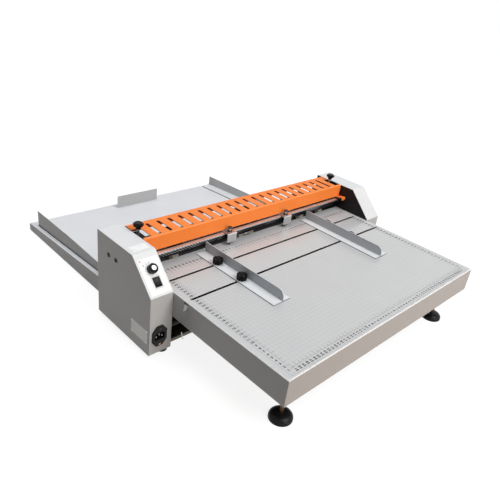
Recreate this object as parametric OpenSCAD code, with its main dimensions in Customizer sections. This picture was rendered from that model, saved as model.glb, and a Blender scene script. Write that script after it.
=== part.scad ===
/* [Housings] */
// Clear width between the two side housings
gap_w = 686; // [660:1:760]
// Width of one side housing
housing_w = 55; // [53:1:70]
// Reach of a housing ahead of the top edge of its slope
housing_front = 69; // [66:1:80]
// Reach of a housing behind the top edge of its slope
housing_rear = 135; // [132:1:155]
// Height of the housings above the desk
housing_top = 218; // [217:1:232]
// Height at which the sloped panel starts
slope_foot = 150; // [142:1:156]
// Gap between the desk and the underside of a housing
desk_gap = 8; // [7:0.5:10]
// Thickness of the sheet metal
sheet = 1.5; // [1.2:0.1:1.8]
// Thickness of the black side plates
plate_t = 6; // [5:0.5:7]

/* [Feed table] */
// Height of the feed table above the desk
table_z = 149; // [143:0.5:150]
// Reach of the feed table ahead of the slope's top edge
table_front = 390; // [300:5:420]
// Depth of the table's apron
apron_h = 60; // [45:1:64]
// Width of the two clamping slots
table_slot_w = 7.4; // [5.6:0.2:8]
// Reach of the front slot ahead of the slope's top edge
front_slot = 110; // [90:1:125]
// Reach of the rear slot ahead of the slope's top edge
rear_slot = 30; // [20:1:45]

/* [Side guides] */
// Centre of the left guide's base
left_guide_x = -180; // [-195:1:-170]
// Centre of the right guide's base
right_guide_x = 187; // [180:1:200]
// Width of a guide's base
guide_w = 50; // [46:1:56]
// Height of a guide's fence
fence_h = 25; // [16:1:34]
// Reach of a guide ahead of the slope's top edge
guide_front = 220; // [180:1:260]
// Radius of a clamp knob
clamp_r = 12; // [10:0.5:13]

/* [Guide bar and clips] */
// Height of the infeed mouth under the guide bar
infeed_h = 15; // [12:0.5:16]
// Height of the guide bar
bar_h = 14; // [12:0.5:15]
// Distance of the guide bar behind the slope's top edge
bar_y = 34; // [33:0.5:36]
// Centre of the left hold-down clip
left_clip_x = -102.5; // [-110:0.5:-90]
// Centre of the right hold-down clip
right_clip_x = 97; // [90:0.5:105]
// Width of a clip
clip_w = 29; // [20:1:32]

/* [Rollers] */
// Distance of the shafts behind the slope's top edge
nip_y = 80; // [79:0.5:81]
// Radius of both shafts
shaft_r = 7.5; // [6:0.5:9]
// Width of one feed wheel
wheel_w = 18; // [12:1:20]
// Travel of the upper shaft when the knobs are raised
lift = 2.5; // [1:0.25:2.75]

/* [Cover] */
// Height of the cover above the housings
cover_proud = 1; // [0:0.5:3]
// Front face of the cover, behind the slope's top edge
cover_front = 43; // [42:0.5:44]
// Rear face of the cover, behind the slope's top edge
cover_rear = 118; // [117:0.5:120]
// Number of slots in the cover
slot_count = 21; // [9:2:21]
// Spacing of the cover's slots
slot_pitch = 29.6; // [20:0.2:30]
// Width of a slot in the cover
slot_w = 8.5; // [4:0.5:12]
// Depth of the cover's front flange
flange_h = 35; // [32:1:36]

/* [Pressure knobs] */
// Radius of a pressure knob
knob_r = 12; // [10:0.5:12.5]
// Height of a pressure knob
knob_h = 15; // [12:0.5:18]
// Radius of the pressure screws
screw_r = 3; // [2.5:0.5:5]

/* [Catch tray] */
// Reach of the catch tray past the clear width, on each side
tray_past = 12; // [9:1:37]
// Rear edge of the catch tray, behind the slope's top edge
tray_rear = 604; // [520:5:620]
// Height of the tray's surface at its rear edge
tray_rear_z = 21; // [14:0.5:28]
// Height of the tray's surface at the machine
tray_front_z = 48; // [40:0.5:49]
// Distance of the left tray guide from the tray's side
left_fence_in = 14.6; // [10:0.1:25]
// Distance of the right tray guide from the tray's side
right_fence_in = 34; // [30:1:55]
// Height of the tray stop
stop_h = 38.5; // [25:0.5:60]

/* [Controls] */
// Distance of the speed knob down the slope
dial_s = 39.4; // [36:0.2:42]
// Radius of the speed knob
dial_r = 10.5; // [9:0.5:12]
// Distance of the rocker switch down the slope
rocker_s = 67.2; // [64:0.2:69]
// Height of the power inlet above the desk
inlet_z = 53; // [50:0.5:60]

/* [Hidden] */
$fn = 48;

// Overrun of every cut, clearance between separate pieces, and clearance of a running fit
over = 5;
seat = 0.3;
run = 0.05;
bend_steps = 5;
flute_steps = 8;
neck_share = 0.66;
crown_share = 0.7;
crown_in = 0.2;

// Housings and side plates
half_gap = gap_w / 2;
outer_x = half_gap + housing_w;
edge_r = 2.5;
plate_recess = 1;
plate_in = half_gap + plate_recess;
plate_out = plate_in + plate_t;
side_reach = plate_in - seat;
slope_drop = housing_top - slope_foot;
slope_angle = atan(slope_drop / housing_front);
access_r = 4;
// Access holes: how far behind the shafts, and how far below the housing's top
access_places = [[8.8, 42], [-19.8, 41.7]];
machine_floor = desk_gap + sheet;
tie_r = 5;
tie_in = 20;
tie_rise = 32;
top_tie_back = 4;
top_tie_drop = 8.5;
pan_set_back = 9.5;
pan_front = housing_front - pan_set_back;
pan_lip = 12;
pan_bend = 6;
pan_rear_gap = 2;
foot_r = 12.5;
foot_bore_r = 2.5;
foot_recess = 4;
foot_recess_r = 5;
foot_bevel = 1;
foot_out = 6;
foot_x = plate_out + foot_out;
foot_front_in = 15;
foot_rear_in = 17;
foot_rows = [foot_front_in - housing_front, housing_rear - foot_rear_in];

// Feed table and its feet
table_play = 0.5;
table_half = half_gap - table_play;
table_rear = 46;
table_bend = 3;
rear_lip = 12;
slot_margin = 11;
nut_window_w = 12;
nut_window_h = 10;
nut_window_drop = 4;
rail_w = 30;
rail_h = 15;
rail_set_back = 25.5;
rail_front = table_front - rail_set_back;
level_in = 53;
level_x = table_half - level_in;
level_y = rail_front - rail_w / 2;
level_r = 24.6;
level_h = 15;
level_rim = 3;
level_neck = 8;
stud_r = 4;
nut_r = 7.5;
nut_h = 6.5;
jam_h = 3.7;
stud_seat = 3;
stud_proud = 1;

// Side guides and their clamps
guide_seat = table_z + seat;
guide_clear = 2;
guide_rear = bar_y - guide_clear;
fence_corner = 15;
clamp_margin = 0.5;
clamp_in = clamp_r + clamp_margin;
fence_clear = 2.5;
fence_out = 2 * clamp_in + fence_clear;
clamp_neck = 1.5;
clamp_stud_r = 2.5;
clamp_h = 14;
clamp_nut = 12;
clamp_nut_h = 5;
clamp_flutes = 9;
clamp_depth = 1.4;
clamp_dish_r = 6;
clamp_dish = 1.5;

// Guide bar and hold-down clips
bar_z = table_z + infeed_h;
bar_top = bar_z + bar_h;
bar_depth = 15;
bar_bend = 4;
leaf_out = 10;
leaf_y = bar_y - leaf_out;
leaf_drop = 21.5;
clip_top = bar_top + seat + sheet;
clip_back = 14;
clip_rear = bar_y + clip_back;
clip_bend = 3;
clip_rod_in = 3.5;
clip_rod_r = 2.5;
clip_rod_gap = 0.5;
clip_rod_y = bar_y - clip_rod_r - clip_rod_gap;
clip_disc_r = 6;
clip_disc_h = 3.5;
clip_disc_gap = 6;
clip_tip_r = 5;
clip_tip_h = 3.7;
clip_bevel = 1;

// Gears, shafts and wheels
gear_module = 2;
lower_teeth = 20;
upper_teeth = 29;
pressure_angle = 20;
gear_backlash = 0.6;
root_share = 1.25;
flank_steps = 4;
gear_w = 10;
gear_gap = 6;
gear_hub_gap = 1;
gear_x = plate_out + gear_gap;
gear_hub_x = plate_out + gear_hub_gap;
gear_hub_r = 13;
gear_hole_r = 5;
gear_holes = 6;
lower_r = gear_module * lower_teeth / 2;
upper_r = gear_module * upper_teeth / 2;
nip_rise = 0.5;
nip_z = table_z + nip_rise;
lower_z = nip_z - lower_r;
upper_z = nip_z + upper_r;
shaft_end = 4;
upper_shaft_in = 1;
shaft_chamfer = 1;
wheel_bevel = 1;
lower_hub_r = 12;
upper_hub_r = 14;
hub_reach = 2;
web_w = 6;
rim_t = 5;
// Places of the creasing pair and of the outer wheels, as shares of the clear width's half
crease_share = -0.039;
wheel_shares = [-0.7, 0.598, 0.845];
crease_w = 9;
crease_gap = 2.1;
crease_x = crease_share * half_gap;
crease_step = (crease_w + wheel_w) / 2 + hub_reach + crease_gap;
wheel_places = concat(wheel_shares * half_gap, [crease_x - crease_step, crease_x + crease_step]);
blade_w = 1;
blade_reach = 0.3;
blade_flank = 6;
blade_foot = 1;
groove_w = 2.2;
groove_depth = 1.2;

// Bearings and pressure frames
knob_in = 11;
knob_x = half_gap - knob_in;
frame_reach = 10;
frame_in = knob_x - frame_reach;
frame_half = 20;
frame_drop = 8;
frame_top = housing_top - frame_drop;
frame_bridge = 10;
frame_foot = 8;
frame_corner = 4;
window_half = 14;
block_in = 2;
block_reach = 16.5;
block_foot = 17.5;
window_floor = lower_z - block_foot;
spring_r = 8;
spring_t = 2;
shaft_clear = 1.5;

// Cover and its hinge
cover_top = housing_top + cover_proud;
cover_play = 2;
cover_half = half_gap - cover_play;
cover_bend = 3;
rear_flange = 20;
slot_rear = 13.3;
slot_front = 5.5;
notch_ahead = 32;
notch_behind = 12;
notch_beside = 12.5;
notch_front = nip_y - notch_ahead;
notch_rear = nip_y + notch_behind;
notch_in = knob_x - notch_beside;
ear_w = 15;
ear_front = 19;
ear_rise = 5.2;
ear_drop = 9;
hinge_in = 6;
hinge_drop = 13;
hinge_y = cover_rear - hinge_in;
hinge_z = cover_top - hinge_drop;
pin_r = 3;
pin_in = 6;
cheek_front = 8;

// Pressure knobs
knob_rise = 6;
knob_z = cover_top + knob_rise;
knob_lobes = 7;
knob_depth = 2.2;
knob_hub_h = 8;
knob_crown_h = 2.5;
knob_foot_share = 0.42;

// Drive
motor_y = 30;
motor_rise = 42;
motor_z = desk_gap + motor_rise;
motor_gear_r = 34;
motor_gear_l = 40;
motor_r = 29;
motor_l = 80;
motor_cap_r = 24;
motor_cap_l = 6;
motor_boss_r = 15;
motor_shaft_r = 6;
motor_shaft_l = 12;
motor_shaft_gap = 1;
bracket_t = 3;
bracket_half = 40;
bracket_foot = 50;
bracket_gap = 2;
belt_gap = 12;
belt_x = plate_out + belt_gap;
pulley_w = 10;
pulley_flange = 1;
pulley_lip = 2;
belt_t = 1.5;
small_pulley_r = 12;
large_pulley_r = 20;

// Controls
dial_in = 27.7;
dial_x = outer_x - dial_in;
dial_neck = 2;
dial_neck_share = 0.95;
dial_h = 12.5;
dial_flutes = 16;
dial_depth = 0.5;
dial_hollow_r = 7;
dial_hollow_h = 3.3;
cap_r = 5.25;
cap_h = 0.8;
pot_r = 8.5;
pot_h = 11;
pot_shaft_r = 3;
pot_shaft_gap = 1;
bushing_r = 4;
bushing_h = 2.6;
panel_nut_r = 5.8;
panel_nut_h = 2;
rocker_in = 29;
rocker_x = outer_x - rocker_in;
switch_w = 16;
switch_l = 21;
switch_rim = 1.9;
switch_wall = 1;
switch_inset = 2 * (switch_rim - switch_wall);
switch_lip = 1.5;
switch_depth = 22;
switch_well = 9;
rocker_rise = 3.4;
rocker_dip = 1.2;
rocker_deep = 6;
rocker_skirt = 1;
rocker_belly_share = 0.5;
rocker_tilt = 7;
rocker_axis = 1.4;
rocker_pin_r = 1;
inlet_in = 24;
inlet_x = outer_x - inlet_in;
inlet_w = 36;
inlet_h = 50;
inlet_ear_w = 15;
inlet_side_h = 24;
inlet_lip = 2.5;
inlet_body_w = 29;
inlet_body_h = 26;
inlet_body_d = 24;
socket_w = 24.5;
socket_h = 17;
socket_chamfer = 5;
socket_d = 16.5;
pin_w = 2;
pin_l = 4;
pin_proud = 14;
pin_spread = 7;
pin_drop = 4;
board_gap = 5;
board_t = 1.6;
board_in = 18;
board_l = 60;
board_h = 58;
board_drop = 70;
board_y = board_in - housing_front;
board_z = slope_foot - board_drop;
standoff_r = 3;
standoff_in = 5;
chip_h = 6;
// Blocks on the board: place along it, place up it, length and height
chips = [[8, 10, 18, 16], [32, 10, 16, 12]];
// Round parts on the board: place along it and place up it
cans = [[18, 42], [34, 42]];
can_r = 5;

// Exit plate and catch tray
exit_gap = 21.5;
exit_drop = 3.5;
exit_flat = 16;
exit_fall = 6;
exit_end = 1.5;
exit_over = 5;
exit_start = nip_y + exit_gap;
exit_top = nip_z - exit_drop;
exit_bend = 6;
tray_half = half_gap + tray_past;
tray_front = housing_rear + seat;
tray_chamfer = 3;
tray_base_w = 22;
right_base_w = 37;
right_base_short = 7;
left_fence_x = left_fence_in - tray_half;
right_fence_x = tray_half - right_fence_in;
left_fence_end = 27;
right_fence_end = 1;
fence_gap = 12;
left_fence_rear = tray_rear - left_fence_end;
right_fence_rear = tray_rear - right_fence_end;
fence_start = tray_front + fence_gap;
stop_left = -83;
stop_right = 66;
stop_in = 29;
stop_y = tray_rear - stop_in;
stop_base = 19.6;
// Heights of the tray fences' tops along their length: share of the length, share of the highest point
left_top_share = [[0, 0.36], [0.21, 0.51], [0.56, 0.8], [1, 1]];
right_top_share = [[0, 0.42], [0.2, 0.62], [0.53, 0.88], [1, 1]];
left_fence_h = 44.5;
right_fence_h = 31.3;

// The part's origin lies under the middle of its box
mid_y = (tray_rear - table_front) / 2;

// Points, angles and outlines
function unit(v) = v / norm(v);
function turned_left(v) = [-v[1], v[0]];
function polar(r, a) = [r * cos(a), r * sin(a)];

// Round bend of radius r where the run from a to p meets the run from p to b
function bend(a, p, b, r) =
    let (u = unit(a - p), v = unit(b - p), w = 180 - acos(u * v))
    let (c = p + unit(u + v) * r / cos(w / 2))
    let (s = p + u * r * tan(w / 2) - c, e = p + v * r * tan(w / 2) - c)
    [for (i = [0 : bend_steps])
        let (t = i / bend_steps) c + (s * sin((1 - t) * w) + e * sin(t * w)) / sin(w)];

// Open path with every inner corner bent to radius r
function bent(path, r) = concat(
    [path[0]],
    [for (i = [1 : len(path) - 2]) each bend(path[i - 1], path[i], path[i + 1], r)],
    [path[len(path) - 1]]);

// Closed outline with every corner rounded to radius r
function rounded(pts, r) =
    let (n = len(pts))
    [for (i = [0 : n - 1]) each bend(pts[(i + n - 1) % n], pts[i], pts[(i + 1) % n], r)];

// Closed outline, counter-clockwise, drawn in by d
function inset(pts, d) =
    let (n = len(pts))
    [for (i = [0 : n - 1])
        let (p = pts[i])
        let (m = turned_left(unit(p - pts[(i + n - 1) % n])))
        let (k = turned_left(unit(pts[(i + 1) % n] - p)))
        p + (m + k) * d / (1 + m * k)];

// Direction square to a path at its point i, long enough to keep the sheet's thickness
function path_side(path, i) =
    let (n = len(path))
    let (m = turned_left(unit(path[max(i, 1)] - path[max(i, 1) - 1])))
    let (j = min(i, n - 2))
    let (k = turned_left(unit(path[j + 1] - path[j])))
    (m + k) / (1 + m * k);

// Section of a folded sheet: the path is one face and the other lies t to its left
function folded(path, t) = concat(
    path,
    [for (i = [len(path) - 1 : -1 : 0]) path[i] + path_side(path, i) * t]);

// Outline of a fluted or lobed grip
function fluted(r, flutes, depth) =
    let (n = flutes * flute_steps)
    [for (i = [0 : n - 1])
        let (a = 360 * i / n) polar(r - depth * (1 - cos(flutes * a)) / 2, a)];

// Angle of an involute at radius r, and the tooth's half angle there
function involute(base_r, r) =
    let (a = acos(min(1, base_r / r))) tan(a) * 180 / PI - a;
function tooth_half(teeth, r) =
    let (pitch_r = gear_module * teeth / 2)
    let (base_r = pitch_r * cos(pressure_angle))
    90 / teeth - gear_backlash + involute(base_r, pitch_r) - involute(base_r, r);

// Outline of a spur gear with its first tooth at angle 0
function gear_outline(teeth) =
    let (pitch_r = gear_module * teeth / 2)
    let (base_r = pitch_r * cos(pressure_angle), root_r = pitch_r - root_share * gear_module)
    let (tip_r = pitch_r + gear_module, low_r = max(base_r, root_r))
    [for (i = [0 : teeth - 1])
        let (c = 360 * i / teeth)
        each concat(
            [polar(root_r, c - tooth_half(teeth, low_r))],
            [for (s = [0 : flank_steps])
                let (r = low_r + (tip_r - low_r) * s / flank_steps) polar(r, c - tooth_half(teeth, r))],
            [for (s = [flank_steps : -1 : 0])
                let (r = low_r + (tip_r - low_r) * s / flank_steps) polar(r, c + tooth_half(teeth, r))],
            [polar(root_r, c + tooth_half(teeth, low_r))])];

// Height of the tray's surface at y
function tray_at(y) = tray_rear_z + (tray_rear - y) * (tray_front_z - tray_rear_z) / (tray_rear - tray_front);

// Solids along the machine's axes
module machine() {
    translate([0, -mid_y, 0]) children();
}

module block(a, b) {
    translate(a) cube(b - a);
}

module along_x(a, b) {
    translate([a, 0, 0]) rotate([90, 0, 90]) linear_extrude(b - a) children();
}

module along_y(a, b) {
    translate([0, b, 0]) rotate([90, 0, 0]) linear_extrude(b - a) children();
}

module disc_x(a, b, r, y, z) {
    along_x(a, b) translate([y, z]) circle(r);
}

module both_sides() {
    children();
    mirror([1, 0, 0]) children();
}

// Solid turned about a line along X: its section holds radius and place along X
module turned_x(y, z) {
    translate([0, y, z]) rotate([0, 90, 0]) rotate_extrude() children();
}

// Place on the left housing's slope, s down from its top edge, with Z out of the panel
module on_slope(x, s) {
    translate([-x, 0, housing_top]) rotate([slope_angle, 0, 0]) translate([0, -s, 0]) children();
}

module obround(l, w) {
    square([l - w, w], center = true);
    for (s = [-1, 1]) translate([s * (l - w) / 2, 0]) circle(w / 2);
}

module shaft(a, b, r, y, z) {
    turned_x(y, z) polygon([[0, a], [r - shaft_chamfer, a], [r, a + shaft_chamfer],
        [r, b - shaft_chamfer], [r - shaft_chamfer, b], [0, b]]);
}

// Hand knob on z = 0: a hub, a fluted grip and a bevelled crown
module hand_knob(r, h, flutes, depth, hub_h, crown_h, foot_share, hub_share) {
    cylinder(h = hub_h, r1 = r * foot_share, r2 = r * hub_share);
    translate([0, 0, hub_h]) linear_extrude(h - hub_h - crown_h) polygon(fluted(r, flutes, depth));
    translate([0, 0, h - crown_h]) cylinder(h = crown_h, r1 = r - depth - crown_in, r2 = r * crown_share);
}

// Housings
housing_outline = [[-housing_front, desk_gap], [housing_rear, desk_gap], [housing_rear, housing_top],
    [0, housing_top], [-housing_front, slope_foot]];

module housing_tub() {
    difference() {
        along_x(half_gap, outer_x) polygon(rounded(housing_outline, edge_r));
        along_x(half_gap - over, outer_x - sheet)
            polygon(rounded(inset(housing_outline, sheet), edge_r - sheet));
        for (y = foot_rows) translate([foot_x, y, desk_gap - over])
            cylinder(h = sheet + 2 * over, r = foot_bore_r);
    }
}

module left_housing() {
    color("gainsboro") machine() difference() {
        mirror([1, 0, 0]) housing_tub();
        for (p = access_places)
            disc_x(-outer_x - over, -outer_x + sheet + over, access_r, nip_y + p[0], housing_top - p[1]);
        on_slope(dial_x, dial_s) translate([0, 0, -sheet - over])
            cylinder(h = sheet + 2 * over, r = bushing_r + run);
        on_slope(rocker_x, rocker_s) translate([0, 0, -sheet - over]) linear_extrude(sheet + 2 * over)
            square([switch_w - switch_inset + seat, switch_l - switch_inset + seat], center = true);
        along_y(-housing_front - over, -housing_front + sheet + over)
            translate([-inlet_x, inlet_z]) square([inlet_body_w + seat, inlet_body_h + seat], center = true);
    }
}

module right_housing() {
    color("gainsboro") machine() housing_tub();
}

// Side plate, with the shafts' holes and the hinge pin's seat
module side_plate() {
    difference() {
        along_x(plate_in, plate_out) polygon(rounded(inset(housing_outline, sheet + seat), edge_r));
        disc_x(plate_in - over, plate_out + over, shaft_r + shaft_clear, nip_y, lower_z);
        along_x(plate_in - over, plate_out + over) translate([nip_y, upper_z + lift / 2])
            rotate(90) obround(2 * (shaft_r + shaft_clear) + lift, 2 * (shaft_r + shaft_clear));
        disc_x(plate_in - over, plate_out + over, pin_r, hinge_y, hinge_z);
    }
}

module left_side_plate() {
    color("dimgray") machine() difference() {
        mirror([1, 0, 0]) side_plate();
        disc_x(-plate_out - over, -plate_in + over, motor_shaft_r + shaft_clear, motor_y, motor_z);
    }
}

module right_side_plate() {
    color("dimgray") machine() side_plate();
}

module base_pan() {
    pan_path = [[-pan_front, desk_gap + pan_lip], [-pan_front, desk_gap],
        [housing_rear - pan_rear_gap, desk_gap], [housing_rear - pan_rear_gap, desk_gap + pan_lip]];
    color("slategray") machine()
        along_x(-half_gap + seat, half_gap - seat) polygon(folded(bent(pan_path, pan_bend), sheet));
}

module tie_bars() {
    rods = [[tie_in - pan_front, desk_gap + tie_rise], [housing_rear - tie_in, desk_gap + tie_rise],
        [cover_rear + top_tie_back, upper_z - top_tie_drop]];
    color("silver") machine() for (p = rods) disc_x(-plate_in, plate_in, tie_r, p[0], p[1]);
}

module housing_feet() {
    foot = [[foot_bore_r, 0], [foot_r - foot_bevel, 0], [foot_r, foot_bevel], [foot_r, desk_gap - foot_bevel],
        [foot_r - foot_bevel, desk_gap], [foot_bore_r, desk_gap]];
    color("black") machine() both_sides() for (y = foot_rows) translate([foot_x, y, 0]) difference() {
        rotate_extrude() polygon(foot);
        translate([0, 0, -over]) cylinder(h = over + foot_recess, r = foot_recess_r);
    }
}

// Feed table: a folded top with aprons, open underneath
module table_form(d, r, z_low) {
    half = table_half - d;
    top = table_z - d;
    intersection() {
        along_x(-half, half) polygon(bent([[d - table_front, z_low], [d - table_front, top],
            [table_rear - d, top], [table_rear - d, z_low]], r));
        along_y(-table_front, table_rear) polygon(bent([[-half, z_low], [-half, top], [half, top],
            [half, z_low]], r));
    }
}

module feed_table() {
    slot_l = 2 * (table_half - slot_margin);
    nut_window_low = table_z - nut_window_drop - nut_window_h;
    color("whitesmoke") machine() difference() {
        table_form(0, table_bend, table_z - apron_h);
        table_form(sheet, table_bend - sheet, table_z - apron_h - over);
        block([-table_half + sheet, table_rear - sheet - over, table_z - apron_h - over],
            [table_half - sheet, table_rear + over, table_z - rear_lip]);
        for (y = [-front_slot, -rear_slot]) translate([0, y, table_z - sheet - over])
            linear_extrude(sheet + 2 * over) obround(slot_l, table_slot_w);
        both_sides() block([table_half - sheet - over, -front_slot - nut_window_w / 2, nut_window_low],
            [table_half + over, nut_window_w / 2 - front_slot, nut_window_low + nut_window_h]);
    }
}

module table_rail() {
    low = table_z - sheet - rail_h;
    rail_path = [[rail_w - rail_front, table_z - sheet], [-rail_front, table_z - sheet], [-rail_front, low],
        [rail_w - rail_front, low]];
    color("gainsboro") machine() difference() {
        union() {
            along_x(table_bend - table_half, table_half - table_bend) polygon(folded(rail_path, sheet));
            both_sides() translate([level_x, -level_y, low + sheet]) cylinder(h = nut_h, r = nut_r, $fn = 6);
        }
        both_sides() translate([level_x, -level_y, low - over])
            cylinder(h = over + sheet + nut_h + stud_proud, r = stud_r + run);
    }
}

// Levelling foot: a domed pad with a threaded stud that turns in the rail's nut
module levelling_pad() {
    dome = [for (i = [0 : bend_steps])
        let (a = 90 * i / bend_steps)
        [level_neck + (level_r - level_neck) * cos(a), level_rim + (level_h - level_rim) * sin(a)]];
    translate([level_x, -level_y, 0]) difference() {
        rotate_extrude() polygon(concat([[0, 0], [level_r, 0]], dome, [[0, level_h]]));
        translate([0, 0, stud_seat]) cylinder(h = level_h, r = stud_r + run);
    }
}

module levelling_stud() {
    low = table_z - sheet - rail_h;
    translate([level_x, -level_y, 0]) {
        translate([0, 0, stud_seat]) cylinder(h = low + sheet + nut_h + stud_proud - stud_seat, r = stud_r);
        translate([0, 0, low - seat - jam_h]) cylinder(h = jam_h, r = nut_r, $fn = 6);
    }
}

module left_levelling_foot() {
    color("black") machine() mirror([1, 0, 0]) levelling_pad();
}

module right_levelling_foot() {
    color("black") machine() levelling_pad();
}

module left_foot_stud() {
    color("silver") machine() mirror([1, 0, 0]) levelling_stud();
}

module right_foot_stud() {
    color("silver") machine() levelling_stud();
}

// Side guide: a base strip with an upright fence, clamped through the table's slots.
// side is -1 for the left guide and 1 for the right one.
function clamp_at(centre, side) = centre + side * (guide_w / 2 - clamp_in);

module side_guide(centre, side) {
    fence_x = centre + side * (guide_w / 2 - fence_out);
    low = table_z - sheet - seat - clamp_nut_h;
    fence = concat([[-guide_front, guide_seat]],
        bend([-guide_front, guide_seat], [-guide_front, guide_seat + fence_h],
            [guide_rear, guide_seat + fence_h], min(fence_corner, fence_h - sheet)),
        [[guide_rear, guide_seat + fence_h], [guide_rear, guide_seat]]);
    difference() {
        union() {
            block([centre - guide_w / 2, -guide_front, guide_seat],
                [centre + guide_w / 2, guide_rear, guide_seat + sheet]);
            along_x(fence_x - sheet / 2, fence_x + sheet / 2) polygon(fence);
            for (y = [-front_slot, -rear_slot]) translate([clamp_at(centre, side), y, low + clamp_nut_h / 2])
                cube([clamp_nut, clamp_nut, clamp_nut_h], center = true);
        }
        for (y = [-front_slot, -rear_slot]) translate([clamp_at(centre, side), y, low - over])
            cylinder(h = guide_seat + sheet - low + 2 * over, r = clamp_stud_r + run);
    }
}

module clamp_knob(centre, side, slot) {
    low = table_z - sheet - seat - clamp_nut_h;
    top = guide_seat + sheet + seat;
    translate([clamp_at(centre, side), -slot, 0]) {
        translate([0, 0, low - stud_proud]) cylinder(h = top - low + stud_proud, r = clamp_stud_r);
        translate([0, 0, top]) difference() {
            hand_knob(clamp_r, clamp_h, clamp_flutes, clamp_depth, clamp_neck, clamp_neck,
                neck_share, neck_share);
            translate([0, 0, clamp_h - clamp_dish])
                cylinder(h = clamp_dish + over, r1 = clamp_dish_r, r2 = clamp_dish_r + clamp_dish);
        }
    }
}

module left_guide() {
    color("lightgray") machine() side_guide(left_guide_x, -1);
}

module right_guide() {
    color("lightgray") machine() side_guide(right_guide_x, 1);
}

module left_front_knob() {
    color("black") machine() clamp_knob(left_guide_x, -1, front_slot);
}

module left_rear_knob() {
    color("black") machine() clamp_knob(left_guide_x, -1, rear_slot);
}

module right_front_knob() {
    color("black") machine() clamp_knob(right_guide_x, 1, front_slot);
}

module right_rear_knob() {
    color("black") machine() clamp_knob(right_guide_x, 1, rear_slot);
}

// Guide bar over the infeed, and the clips that slide along it
module guide_bar() {
    bar_path = [[bar_y, bar_z], [bar_y, bar_top], [bar_y + bar_depth, bar_top]];
    color("silver") machine() along_x(-side_reach, side_reach)
        polygon(folded(bent(bar_path, bar_bend), -sheet));
}

module clip_leaf(x) {
    leaf_path = [[leaf_y, clip_top - leaf_drop - sheet], [leaf_y, clip_top], [clip_rear, clip_top]];
    difference() {
        along_x(x - clip_w / 2, x + clip_w / 2) polygon(folded(bent(leaf_path, clip_bend), -sheet));
        translate([x - clip_rod_in, clip_rod_y, clip_top - sheet - over])
            cylinder(h = sheet + 2 * over, r = clip_rod_r + run);
    }
}

module clip_screw(x) {
    tip = table_z + seat;
    disc = clip_top + clip_disc_gap / 2;
    translate([x - clip_rod_in, clip_rod_y, 0]) rotate_extrude() polygon([
        [0, tip], [clip_tip_r - clip_bevel, tip], [clip_tip_r, tip + clip_bevel],
        [clip_tip_r, tip + clip_tip_h], [clip_rod_r, tip + clip_tip_h], [clip_rod_r, disc],
        [clip_disc_r, disc],
        [clip_disc_r, disc + clip_disc_h], [clip_rod_r, disc + clip_disc_h],
        [clip_rod_r, disc + clip_disc_h + clip_disc_gap], [clip_disc_r, disc + clip_disc_h + clip_disc_gap],
        [clip_disc_r, disc + 2 * clip_disc_h + clip_disc_gap - clip_bevel],
        [clip_disc_r - clip_bevel, disc + 2 * clip_disc_h + clip_disc_gap],
        [0, disc + 2 * clip_disc_h + clip_disc_gap]]);
}

module left_clip() {
    color("lightgray") machine() clip_leaf(left_clip_x);
}

module right_clip() {
    color("lightgray") machine() clip_leaf(right_clip_x);
}

module left_clip_screw() {
    color("dimgray") machine() clip_screw(left_clip_x);
}

module right_clip_screw() {
    color("dimgray") machine() clip_screw(right_clip_x);
}

// Shafts, feed wheels and the creasing pair
module lower_shaft() {
    color("silver") machine()
        shaft(-belt_x - pulley_w - shaft_end, gear_x + gear_w + shaft_end, shaft_r, nip_y, lower_z);
}

module upper_shaft() {
    color("silver") machine()
        shaft(upper_shaft_in - plate_out, gear_x + gear_w + shaft_end, shaft_r, nip_y, upper_z);
}

function wheel_section(r, hub_r, x) =
    let (bore = shaft_r + run, w = wheel_w / 2, hub = w + hub_reach, rim = r - rim_t, web = web_w / 2)
    [for (p = [[bore, -hub], [hub_r, -hub], [hub_r, -web], [rim, -web], [rim, -w], [r - wheel_bevel, -w],
        [r, wheel_bevel - w], [r, w - wheel_bevel], [r - wheel_bevel, w], [rim, w], [rim, web], [hub_r, web],
        [hub_r, hub], [bore, hub]]) p + [0, x]];

module lower_wheels() {
    color("cornsilk") machine() turned_x(nip_y, lower_z) for (x = wheel_places)
        polygon(wheel_section(lower_r - seat / 2, lower_hub_r, x));
}

module upper_wheels() {
    color("lightgray") machine() turned_x(nip_y, upper_z) for (x = wheel_places)
        polygon(wheel_section(upper_r - seat / 2, upper_hub_r, x));
}

module creasing_ring() {
    bore = shaft_r + run;
    r = lower_r - seat / 2;
    w = crease_w / 2;
    g = groove_w / 2;
    color("silver") machine() turned_x(nip_y, lower_z) translate([0, crease_x])
        polygon([[bore, -w], [r, -w], [r, -g], [r - groove_depth, -g], [r - groove_depth, g], [r, g], [r, w],
            [bore, w]]);
}

module creasing_disc() {
    bore = shaft_r + run;
    r = upper_r - blade_flank;
    w = crease_w / 2;
    b = blade_w / 2;
    tip = upper_r + blade_reach;
    color("silver") machine() turned_x(nip_y, upper_z) translate([0, crease_x])
        polygon([[bore, -w], [r, -w], [r + blade_foot, -b], [tip - b, -b], [tip, 0], [tip - b, b],
            [r + blade_foot, b], [r, w], [bore, w]]);
}

// Spur gears outside the right side plate: a tooth of the lower one stands in a gap of the upper one
module spur_gear(teeth, z, phase) {
    difference() {
        union() {
            along_x(gear_x, gear_x + gear_w) translate([nip_y, z]) rotate(phase) polygon(gear_outline(teeth));
            disc_x(gear_hub_x, gear_x, gear_hub_r, nip_y, z);
        }
        disc_x(gear_hub_x - over, gear_x + gear_w + over, shaft_r + run, nip_y, z);
    }
}

module lower_gear() {
    color("darkgray") machine() spur_gear(lower_teeth, lower_z, 90);
}

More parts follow.
